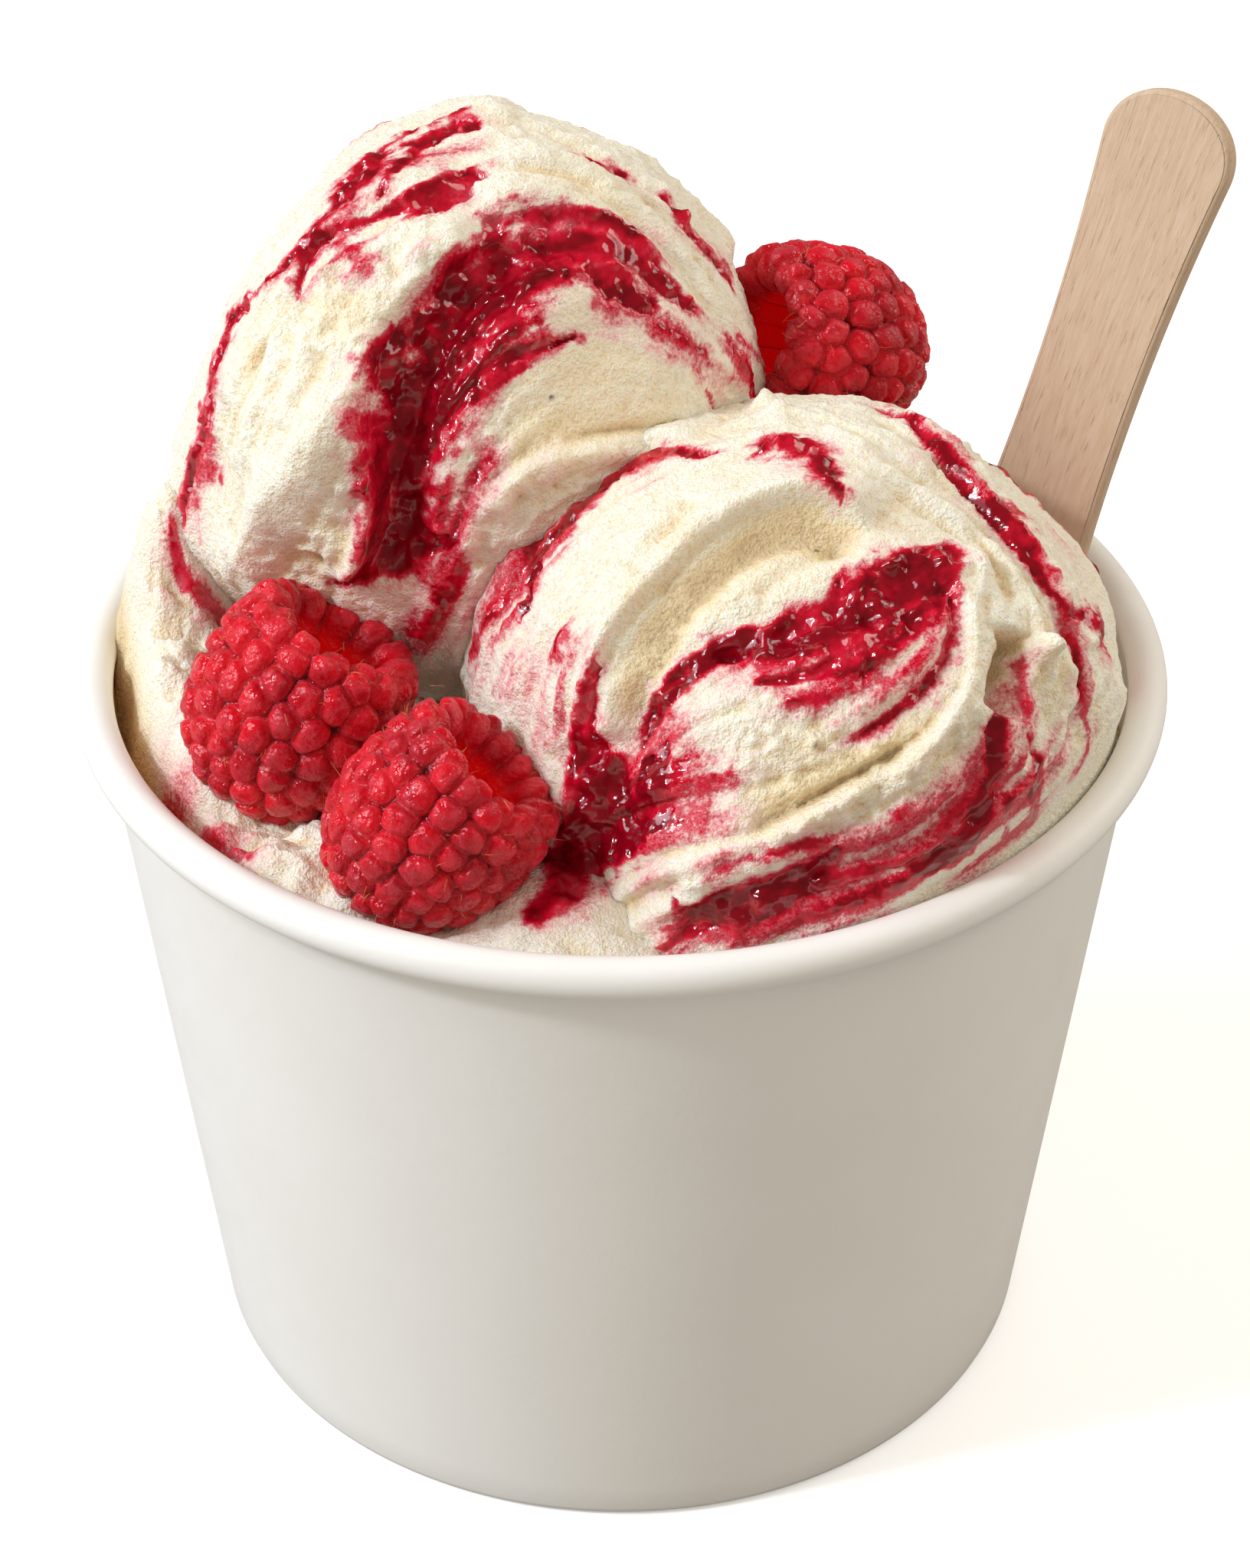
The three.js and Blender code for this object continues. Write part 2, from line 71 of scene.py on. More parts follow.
def makeCamera():
    data = bpy.data.cameras.new("photoCamera")
    data.sensor_width = photo["sensor"]
    data.lens = photo["focal"] * photo["sensor"] / photo["height"]
    camera = bpy.data.objects.new("photoCamera", data)
    bpy.context.collection.objects.link(camera)
    camera.location = Vector((lensAt + cupAxis) / mmPerMetre)
    camera.rotation_euler = (math.pi / 2 - tilt, 0, 0)
    data.clip_start = 0.01
    data.clip_end = 10
    bpy.context.scene.camera = camera


makeCamera()


# The ray through each point of the photograph.
def raysThrough(pixels):
    pixels = np.asarray(pixels, float)
    across = (pixels[:, 0] - photo["width"] / 2) / photo["focal"]
    down = (pixels[:, 1] - photo["height"] / 2) / photo["focal"]
    rays = lensAhead + across[:, None] * lensRight - down[:, None] * lensUp
    return rays / np.linalg.norm(rays, axis=1)[:, None]


pixelsPerMm = photo["focal"] / photo["away"]
farOff = 1e3  # stands for no distance found yet
endFade = 0.12  # share of a path over which it swells and fades


def smoothStep(low, high, value):
    t = np.clip((value - low) / (high - low), 0, 1)
    return t * t * (3 - 2 * t)


# One between the two middle values, and nothing beyond the outer two.
def between(value, low, fullFrom, fullTo, high):
    return smoothStep(low, fullFrom, value) * smoothStep(high, fullTo, value)


def unit(vectors):
    return vectors / np.maximum(np.linalg.norm(vectors, axis=-1, keepdims=True), 1e-12)


def direction(angles):
    angles = np.radians(np.asarray(angles, float))
    level = np.cos(angles[..., 1])
    return np.stack([level * np.cos(angles[..., 0]), level * np.sin(angles[..., 0]), np.sin(angles[..., 1])], -1)


# A smooth curve through points, with `per` steps for each point given.
def curveThrough(points, per=4):
    points = np.asarray(points, float)
    before, after = 2 * points[0] - points[1], 2 * points[-1] - points[-2]
    held = np.vstack([before, points, after])
    gaps = np.maximum(np.linalg.norm(np.diff(held[:, :3], axis=0), axis=1), 1e-9) ** 0.5
    count = len(points) * per
    made = []
    for share in np.linspace(0, 1, count + 1):
        place = share * (len(points) - 1)
        i = min(int(place), len(points) - 2)
        t = place - i
        a, b, c, d = held[i : i + 4]
        g0, g1, g2 = gaps[i : i + 3]
        leave = ((b - a) / g0 - (c - a) / (g0 + g1) + (c - b) / g1) * g1
        arrive = ((c - b) / g1 - (d - b) / (g1 + g2) + (d - c) / g2) * g1
        bend = -3 * b + 3 * c - 2 * leave - arrive
        made.append(b + leave * t + bend * t * t + (2 * b - 2 * c + leave + arrive) * t**3)
    return np.array(made)


# Distance from each place to a path, the nearest leg, and how far along the path it lies.
def nearPath(places, steps, reach=None):
    away = np.full(len(places), farOff)
    leg = np.zeros(len(places), int)
    along = np.zeros(len(places))
    near = np.arange(len(places))
    if reach is not None:
        middle = steps.mean(0)
        span = np.linalg.norm(steps - middle, axis=1).max() + reach
        near = np.nonzero(np.linalg.norm(places - middle, axis=1) < span)[0]
    part = places[near]
    best = np.full(len(part), farOff)
    bestLeg = np.zeros(len(part), int)
    bestAlong = np.zeros(len(part))
    for i in range(len(steps) - 1):
        step = steps[i + 1] - steps[i]
        t = np.clip((part - steps[i]) @ step / max(step @ step, 1e-12), 0, 1)
        gap = np.linalg.norm(part - steps[i] - t[:, None] * step, axis=1)
        closer = gap < best
        best[closer] = gap[closer]
        bestLeg[closer] = i
        bestAlong[closer] = (i + t[closer]) / (len(steps) - 1)
    away[near], leg[near], along[near] = best, bestLeg, bestAlong
    return away, leg, along


def fadeAtEnds(along):
    return between(along, 0, endFade, 1 - endFade, 1)


lattice = {"cells": 32, "turn": [[0.36, 0.48, -0.8], [-0.8, 0.6, 0], [0.48, 0.64, 0.6]]}


# Lumps of about `size` at any place in space, with an even spread about zero.
def lumpsAt(points, size, seed):
    cells = lattice["cells"]
    chance = np.random.default_rng(seed)
    values = chance.standard_normal((cells, cells, cells))
    turned = points @ np.array(lattice["turn"]) / size + chance.random(3) * cells
    low = np.floor(turned).astype(int)
    share = turned - low
    share = share * share * (3 - 2 * share)
    total = np.zeros(len(points))
    for corner in range(8):
        step = np.array([corner & 1, corner >> 1 & 1, corner >> 2 & 1])
        weight = np.prod(np.where(step, share, 1 - share), axis=1)
        cell = (low + step) % cells
        total += weight * values[cell[:, 0], cell[:, 1], cell[:, 2]]
    return total / total.std()


def meshPiece(name, points, faces, material, stands, values=None):
    mesh = bpy.data.meshes.new(name)
    placed = (np.asarray(points, float) + cupAxis) / mmPerMetre
    mesh.from_pydata(placed.tolist(), [], [list(map(int, face)) for face in faces])
    mesh.polygons.foreach_set("use_smooth", [True] * len(mesh.polygons))
    for key, numbers in (values or {}).items():
        numbers = np.asarray(numbers, np.float32)
        kind = "FLOAT_VECTOR" if numbers.ndim == 2 else "FLOAT"
        layer = mesh.attributes.new(key, kind, "POINT")
        layer.data.foreach_set("vector" if numbers.ndim == 2 else "value", numbers.ravel())
    mesh.materials.append(material)
    mesh.update()
    piece = bpy.data.objects.new(name, mesh)
    bpy.context.collection.objects.link(piece)
    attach(piece, "root")
    if stands:
        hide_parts(stands)
    return piece


# Quads between neighbouring points of rings that stand in rows.
def ringFaces(rows, columns):
    across = np.arange(columns)
    right = (across + 1) % columns
    here = np.arange(rows - 1)[:, None] * columns
    below = here + columns
    return np.stack([here + across, here + right, below + right, below + across], -1).reshape(-1, 4)


# Points of an outline, given as radius and height, turned about the upright axis.
def spun(outline, sides):
    outline = np.array(outline, float)
    turn = np.arange(sides) / sides * 2 * math.pi
    radius, height = outline[:, None, 0], outline[:, None, 1]
    return np.stack([radius * np.cos(turn), radius * np.sin(turn), np.repeat(height, sides, 1)], -1).reshape(-1, 3)


# A colour as seen on screen, 0 to 255, in the renderer's own linear scale.
def paint(red, green, blue):
    shade = np.array([red, green, blue]) / 255
    linear = np.where(shade <= 0.04045, shade / 12.92, ((shade + 0.055) / 1.055) ** 2.4)
    return (*[float(c) for c in linear], 1.0)


# A few short calls over a node tree, so that a material reads from top to bottom.
class nodeNet:
    def __init__(self, tree):
        self.tree = tree

    def add(self, kind, **fixed):
        node = self.tree.nodes.new("ShaderNode" + kind)
        for key, value in fixed.items():
            setattr(node, key, value)
        return node

    def feed(self, socket, value):
        if isinstance(value, bpy.types.NodeSocket):
            self.tree.links.new(value, socket)
        elif value is not None:
            socket.default_value = value

    def math(self, operation, a, b=None, c=None, clamp=False):
        node = self.add("Math", operation=operation, use_clamp=clamp)
        for socket, value in zip(node.inputs, (a, b, c)):
            self.feed(socket, value)
        return node.outputs[0]

    def times(self, a, b):
        return self.math("MULTIPLY", a, b)

    def mix(self, share, a, b, kind="Color"):
        node = self.add("Mix", data_type="RGBA" if kind == "Color" else "VECTOR")
        for name, value in (("Factor_Float", share), ("A_" + kind, a), ("B_" + kind, b)):
            self.feed(next(s for s in node.inputs if s.identifier == name), value)
        return next(s for s in node.outputs if s.identifier == "Result_" + kind)

    def span(self, value, low, high, toLow=0.0, toHigh=1.0, smooth=True):
        node = self.add("MapRange", interpolation_type="SMOOTHSTEP" if smooth else "LINEAR")
        names = ("Value", "From Min", "From Max", "To Min", "To Max")
        for name, number in zip(names, (value, low, high, toLow, toHigh)):
            self.feed(node.inputs[name], number)
        return node.outputs[0]

    def noise(self, place, scale, detail=2.0, rough=0.5):
        node = self.add("TexNoise")
        for name, value in (("Vector", place), ("Scale", scale), ("Detail", detail), ("Roughness", rough)):
            self.feed(node.inputs[name], value)
        return node.outputs[0]

    def ramp(self, value, stops):
        node = self.add("ValToRGB")
        band = node.color_ramp
        while len(band.elements) < len(stops):
            band.elements.new(0.5)
        for element, (place, colour) in zip(band.elements, stops):
            element.position = place
            element.color = colour
        self.feed(node.inputs[0], value)
        return node.outputs[0]

    def bump(self, height, strength, distance):
        node = self.add("Bump")
        for name, value in (("Height", height), ("Strength", strength), ("Distance", distance)):
            self.feed(node.inputs[name], value)
        return node.outputs[0]

    def attribute(self, name, vector=False):
        node = self.add("Attribute", attribute_name=name)
        return node.outputs["Vector" if vector else "Fac"]

    def place(self):
        return self.add("TexCoord").outputs["Object"]

    def group(self, tree, **inputs):
        node = self.add("Group", node_tree=tree)
        for name, value in inputs.items():
            self.feed(node.inputs[name], value)
        return node.outputs


def newGroup(name, inputs, outputs):
    tree = bpy.data.node_groups.new(name, "ShaderNodeTree")
    for way, sockets in (("INPUT", inputs), ("OUTPUT", outputs)):
        for label, kind in sockets.items():
            tree.interface.new_socket(label, in_out=way, socket_type="NodeSocket" + kind)
    net = nodeNet(tree)
    return tree, net, tree.nodes.new("NodeGroupInput").outputs, tree.nodes.new("NodeGroupOutput").inputs


# Grain that several surfaces share: coarse and fine noise as one height, and the coarse part as a mask.
def makeGrain():
    inputs = {"Place": "Vector", "Coarse": "Float", "Fine": "Float", "Share": "Float"}
    tree, net, given, out = newGroup("surfaceGrain", inputs, {"Height": "Float", "Mask": "Float"})
    coarse = net.noise(given["Place"], given["Coarse"], 2.0)
    fine = net.noise(given["Place"], given["Fine"], 1.0)
    rest = net.times(coarse, net.math("SUBTRACT", 1.0, given["Share"]))
    net.feed(out["Height"], net.math("ADD", rest, net.times(fine, given["Share"])))
    net.feed(out["Mask"], net.span(coarse, 0.3, 0.7))
    return tree


# Slow change of tone over a surface.
def makeMottle():
    inputs = {"Place": "Vector", "Scale": "Float", "Colour": "Color", "Second": "Color", "Amount": "Float"}
    tree, net, given, out = newGroup("slowMottle", inputs, {"Colour": "Color"})
    patches = net.span(net.noise(given["Place"], given["Scale"], 3.0), 0.35, 0.7)
    net.feed(out["Colour"], net.mix(net.times(patches, given["Amount"]), given["Colour"], given["Second"]))
    return tree


grainGroup = makeGrain()
mottleGroup = makeMottle()


# Two tones in slow patches over a surface.
def mottled(net, place, colour, second, mottle):
    return net.group(mottleGroup, Place=place, Colour=colour, Second=second, **mottle)["Colour"]


# A material from its look. The skin is the same all over, and `wire` returns what changes from place to place.
def makeMaterial(name, look, wire):
    material = bpy.data.materials.new(name)
    material.use_nodes = True
    net = nodeNet(material.node_tree)
    tones = {tone: paint(*colour) for tone, colour in look["tones"].items()}
    inputs = material.node_tree.nodes["Principled BSDF"].inputs
    for socket, value in {**look["skin"], **wire(net, look, tones)}.items():
        net.feed(inputs[socket], value)
    return material


gelatoLook = {
    "tones": {
        "cream": (253, 248, 236),
        # the next two tones are painted shade, laid into the gelato's hollows and pits
        "hollow": (244, 224, 184),
        "shade": (216, 192, 152),
        "blush": (249, 226, 216),
        "pink": (238, 172, 172),
        "rose": (214, 80, 98),
        "red": (214, 22, 56),
        "deep": (188, 9, 39),
        "dark": (138, 3, 24),
        "speck": (48, 34, 26),
    },
    # Painted shade tones from the open surface down into the hollows, and the ripple's tones from its thin edge to its
    # thickest part.
    "intoHollowShade": ((0.0, "cream"), (0.55, "hollow"), (1.0, "shade")),
    "intoRipple": (
        (0.0, "blush"),
        (0.14, "blush"),
        (0.32, "pink"),
        (0.5, "rose"),
        (0.66, "red"),
        (0.84, "deep"),
        (1.0, "dark"),
    ),
    "grain": {"Coarse": 2100.0, "Fine": 4600.0, "Share": 0.4},
    "mottle": {"Scale": 170.0, "Amount": 0.16},
    # scale, detail and roughness of each noise
    "dots": (2300.0, 2.0, 0.65),
    "clots": (420.0, 3.0, 0.6),
    "beads": (540.0, 1.4, 0.5),
    # how strongly painted shade yellows the pits between the grains
    "pits": 0.34,
    "fraying": 0.8,
    "clotting": 0.75,
    "streaking": 0.09,
    # strength and depth of each relief
    "dryRelief": (0.9, 0.0006),
    "wetRelief": (0.62, 0.0012),
    "roughness": (0.55, 0.1),  # dry and wet
    "coat": 0.3,
    "skin": {
        "Subsurface Weight": 0.45,
        "Subsurface Radius": (1.0, 0.55, 0.28),
        "Subsurface Scale": 0.0015,
        "Specular IOR Level": 0.7,
        "Coat Roughness": 0.08,
    },
}


# Gelato and its ripple. The mesh says how much ripple lies at each point, and noise frays its edges.
def wireGelato(net, look, tones):
    place = net.place()
    ripple = net.attribute("ripple")

    # Grains of ice, with painted shade: the pits between them darker and yellower than their tops, and deeper tones in
    # the hollows.
    grain = net.group(grainGroup, Place=place, **look["grain"])
    pits = net.times(net.span(grain["Height"], 0.5, 0.34), look["pits"])
    paintedShade = net.math("ADD", net.attribute("hollow"), pits, clamp=True)
    cream = net.ramp(paintedShade, [(at, tones[tone]) for at, tone in look["intoHollowShade"]])
    cream = mottled(net, place, cream, tones["hollow"], look["mottle"])

    # Grains carry the ripple outwards past its edge, and cream shows through where it thins.
    dots = net.math("SUBTRACT", net.noise(place, *look["dots"]), 0.5)
    unsure = net.times(net.span(ripple, 0.02, 0.3), net.span(ripple, 1.05, 0.55))
    frayed = net.math("MULTIPLY_ADD", net.times(dots, unsure), look["fraying"], ripple)
    clots = net.math("SUBTRACT", net.noise(place, *look["clots"]), 0.5)
    streaky = net.times(net.attribute("streak"), look["streaking"])
    shift = net.times(net.math("ADD", clots, streaky), look["clotting"])
    body = net.math("MULTIPLY_ADD", shift, net.span(frayed, 0.5, 0.8), frayed)
    stained = net.ramp(body, [(at, tones[tone]) for at, tone in look["intoRipple"]])
    colour = net.mix(net.span(frayed, 0.02, 0.18), cream, stained)
    colour = net.mix(net.attribute("speck"), colour, tones["speck"])

    wet = net.span(frayed, 0.52, 0.74)
    dry = net.bump(grain["Height"], *look["dryRelief"])
    sauce = net.bump(net.noise(place, *look["beads"]), *look["wetRelief"])
    return {
        "Base Color": colour,
        "Normal": net.mix(wet, dry, sauce, "Vector"),
        "Roughness": net.span(wet, 0.0, 1.0, *look["roughness"]),
        "Coat Weight": net.times(wet, look["coat"]),
    }


berryLook = {
    "tones": {
        "flesh": (216, 6, 34),
        "deep": (158, 2, 26),
        # the crease tone is painted shade, and the rim tone a painted highlight
        "crease": (92, 1, 10),
        "rim": (230, 70, 84),
        "bloom": (234, 112, 136),
        "inside": (226, 8, 18),
        "unlit": (0, 0, 0),
        "glow": (150, 3, 5),
    },
    "grain": {"Coarse": 900.0, "Fine": 2600.0, "Share": 0.4},
    "mottle": {"Scale": 260.0, "Amount": 0.8},
    "rimHighlight": 0.32,
    "dust": 0.15,
    "relief": (0.8, 0.0006),
    "roughness": (0.2, 0.38),
    "skin": {
        "Subsurface Weight": 0.55,
        "Subsurface Radius": (1.0, 0.08, 0.07),
        "Subsurface Scale": 0.0024,
        "Specular IOR Level": 0.42,
        # painted light: the strength of the hollow's glow
        "Emission Strength": 0.32,
        "Sheen Weight": 0.12,
        "Sheen Roughness": 0.4,
        "Sheen Tint": (1.0, 0.7, 0.8, 1.0),
    },
}


# Raspberry flesh: painted shade darkens the creases, a painted highlight runs as a thin pale line round each drupelet,
# and bloom lies on its crown.
def wireBerry(net, look, tones):
    place = net.place()
    crown, inside = net.attribute("crown"), net.attribute("inside")
    flesh = mottled(net, place, tones["flesh"], tones["deep"], look["mottle"])
    colour = net.mix(net.span(crown, 0.26, 0.54), tones["crease"], flesh)
    line = net.times(net.span(crown, 0.46, 0.58), net.span(crown, 0.8, 0.62))
    colour = net.mix(net.times(line, look["rimHighlight"]), colour, tones["rim"])
    grain = net.group(grainGroup, Place=place, **look["grain"])
    bloom = net.times(net.span(crown, 0.72, 0.97), grain["Mask"])
    colour = net.mix(net.times(bloom, look["dust"]), colour, tones["bloom"])
    return {
        "Base Color": net.mix(inside, colour, tones["inside"]),
        # Painted light: the hollow glows by emission, standing in for light that comes through the thin flesh.
        "Emission Color": net.mix(inside, tones["unlit"], tones["glow"]),
        "Roughness": net.span(grain["Mask"], 0.0, 1.0, *look["roughness"]),
        "Normal": net.bump(grain["Height"], *look["relief"]),
    }


hairLook = {
    "tones": {"pale": (226, 160, 96), "brown": (150, 70, 40)},
    "mottle": {"Scale": 900.0, "Amount": 0.8},
    "skin": {"Roughness": 0.5},
}


def wireHair(net, look, tones):
    return {"Base Color": mottled(net, net.place(), tones["pale"], tones["brown"], look["mottle"])}


paperLook = {
    "tones": {"white": (244, 244, 243), "grey": (240, 239, 237), "stain": (246, 180, 80)},
    "grain": {"Coarse": 350.0, "Fine": 1600.0, "Share": 0.5},
    "mottle": {"Scale": 60.0, "Amount": 0.5},
    "relief": (0.12, 0.0003),
    "roughness": (0.42, 0.5),
    "skin": {"Specular IOR Level": 0.4},
}


# Paper with slow patches of tone and grain, and an amber tint inside the wall, partly a melted-gelato stain, partly
# painted warm shade.
def wirePaper(net, look, tones):
    place = net.place()
    colour = mottled(net, place, tones["white"], tones["grey"], look["mottle"])
    grain = net.group(grainGroup, Place=place, **look["grain"])
    return {
        "Base Color": net.mix(net.attribute("stain"), colour, tones["stain"]),
        "Roughness": net.span(grain["Mask"], 0.0, 1.0, *look["roughness"]),
        "Normal": net.bump(grain["Height"], *look["relief"]),
    }


woodLook = {
    "tones": {"pale": (210, 187, 164), "tan": (199, 172, 145), "fleck": (172, 137, 104)},
    "stretch": (1.0, 0.09, 1.0),
    "fibre": (2.2, 4.0, 0.65),
    "flecks": (4.5, 2.0, 0.6),
    "mottle": {"Scale": 0.12, "Amount": 0.35},
    "relief": (0.5, 0.0002),
    "roughness": (0.66, 0.8),
    "skin": {"Specular IOR Level": 0.3},
}


def wireWood(net, look, tones):
    at = net.attribute("alongGrain", vector=True)
    stretched = net.add("Mapping")
    net.feed(stretched.inputs["Vector"], at)
    net.feed(stretched.inputs["Scale"], look["stretch"])
    fibre = net.noise(stretched.outputs[0], *look["fibre"])
    flecks = net.noise(stretched.outputs[0], *look["flecks"])
    colour = net.mix(net.span(fibre, 0.3, 0.72), tones["pale"], tones["tan"])
    colour = net.mix(net.span(flecks, 0.58, 0.75, 0.0, 0.5), colour, tones["fleck"])
    height = net.math("SUBTRACT", fibre, net.times(net.span(flecks, 0.58, 0.8), 0.6))
    return {
        "Base Color": mottled(net, at, colour, tones["tan"], look["mottle"]),
        "Roughness": net.span(fibre, 0.3, 0.7, *look["roughness"]),
        "Normal": net.bump(height, *look["relief"]),
    }


gelato = makeMaterial("rippleGelato", gelatoLook, wireGelato)
raspberry = makeMaterial("raspberryFlesh", berryLook, wireBerry)
berryHair = makeMaterial("berryHair", hairLook, wireHair)
cupPaper = makeMaterial("cupPaper", paperLook, wirePaper)
birchWood = makeMaterial("birchWood", woodLook, wireWood)
print("materials made")


cup = {
    "rimRadius": 47.5,
    "height": 68.6,
    "footRadius": 38.25,
    "shoulderRadius": 45.4,
    "bead": 1.7,
    "paper": 0.7,
    "hemHeight": 6.5,
    "hemSlot": 1.2,
    "baseHeight": 8,
    "sides": 240,
    # Melted gelato stain and painted warm shade tint the inside of the wall beside the tall lump on the left: degrees
    # round and heights.
    "stain": 0.95,
    "stainAndShadeRound": (158, 172, 205, 222),
    "stainAndShadeHeights": (48, 54, 64.5, 67.6),
}


def wallRadius(z):
    return cup["footRadius"] + (cup["shoulderRadius"] - cup["footRadius"]) / (cup["height"] - cup["bead"]) * z


# Inside of the wall and of the rolled rim, and the same cone carried on above it.
def roomRadius(z):
    inside = wallRadius(z) - cup["paper"]
    beadInside = cup["rimRadius"] - 2 * cup["bead"]
    neck = cup["height"] - 2 * cup["bead"]
    inside = np.where(z > neck, np.minimum(inside, beadInside + 0.4 * smoothStep(neck + 1.7, neck, z)), inside)
    above = beadInside + (z - cup["height"]) * 0.34
    return np.where(z > cup["height"], above, inside)


def makeCup():
    bead, paper, slot = cup["bead"], cup["paper"], cup["hemSlot"]
    foot, hemHeight, baseHeight = cup["footRadius"], cup["hemHeight"], cup["baseHeight"]
    rimMiddle = (cup["rimRadius"] - bead, cup["height"] - bead)
    neck = cup["height"] - 2 * bead
    outside = [(foot - 1.0, 0.0), (foot - 0.45, 0.08), (foot - 0.12, 0.4)]
    outside += [(wallRadius(z), z) for z in np.linspace(1.0, neck - 0.4, 24)]
    turns = np.radians(np.linspace(-96, 186, 34))
    roll = [(rimMiddle[0] + bead * math.cos(a), rimMiddle[1] + bead * math.sin(a)) for a in turns]
    inside = [(wallRadius(z) - paper, z) for z in np.linspace(neck, paper, 16)]
    hemTop = wallRadius(hemHeight) - paper - slot
    hemFoot = wallRadius(0) - paper - slot
    hem = [
        (hemFoot, paper),
        (hemTop, hemHeight),
        (hemTop - paper / 2, hemHeight + 0.2),
        (hemTop - paper, hemHeight),
        (hemFoot - paper, 0.3),
        (hemFoot - paper + 0.3, 0.0),
        (foot - 1.0, 0.0),
    ]
    profile = outside + roll + inside + hem
    points = spun(profile, cup["sides"])
    around = np.degrees(np.arctan2(points[:, 1], points[:, 0])) % 360
    within = np.hypot(points[:, 0], points[:, 1]) < wallRadius(points[:, 2]) - 0.3
    # Amber inside the wall: partly a melted-gelato stain, partly painted warm shade.
    stain = cup["stain"] * between(around, *cup["stainAndShadeRound"]) * between(points[:, 2], *cup["stainAndShadeHeights"])
    faces = ringFaces(len(profile), cup["sides"])
    meshPiece("cup_paper_wall", points, faces, cupPaper, "cup_wall", {"stain": stain * within})

    top = baseHeight + paper
    edge = wallRadius(baseHeight) - paper - 0.3
    lip = wallRadius(1.0) - paper - 0.3
    profile = [
        (0.01, baseHeight),
        (edge - 2.2, baseHeight),
        (edge - 0.9, baseHeight - 0.35),
        (edge - 0.62, baseHeight - 1.2),
        (lip - 0.6, 1.0),
        (lip, 1.0),
        (edge - 0.02, top - 0.5),
        (edge - 0.5, top),
        (0.01, top),
    ]
    sides = cup["sides"] // 2
    faces = ringFaces(len(profile), sides)
    meshPiece("cup_paper_base", spun(profile, sides), faces, cupPaper, "cup_base")


makeCup()
print("cup made")


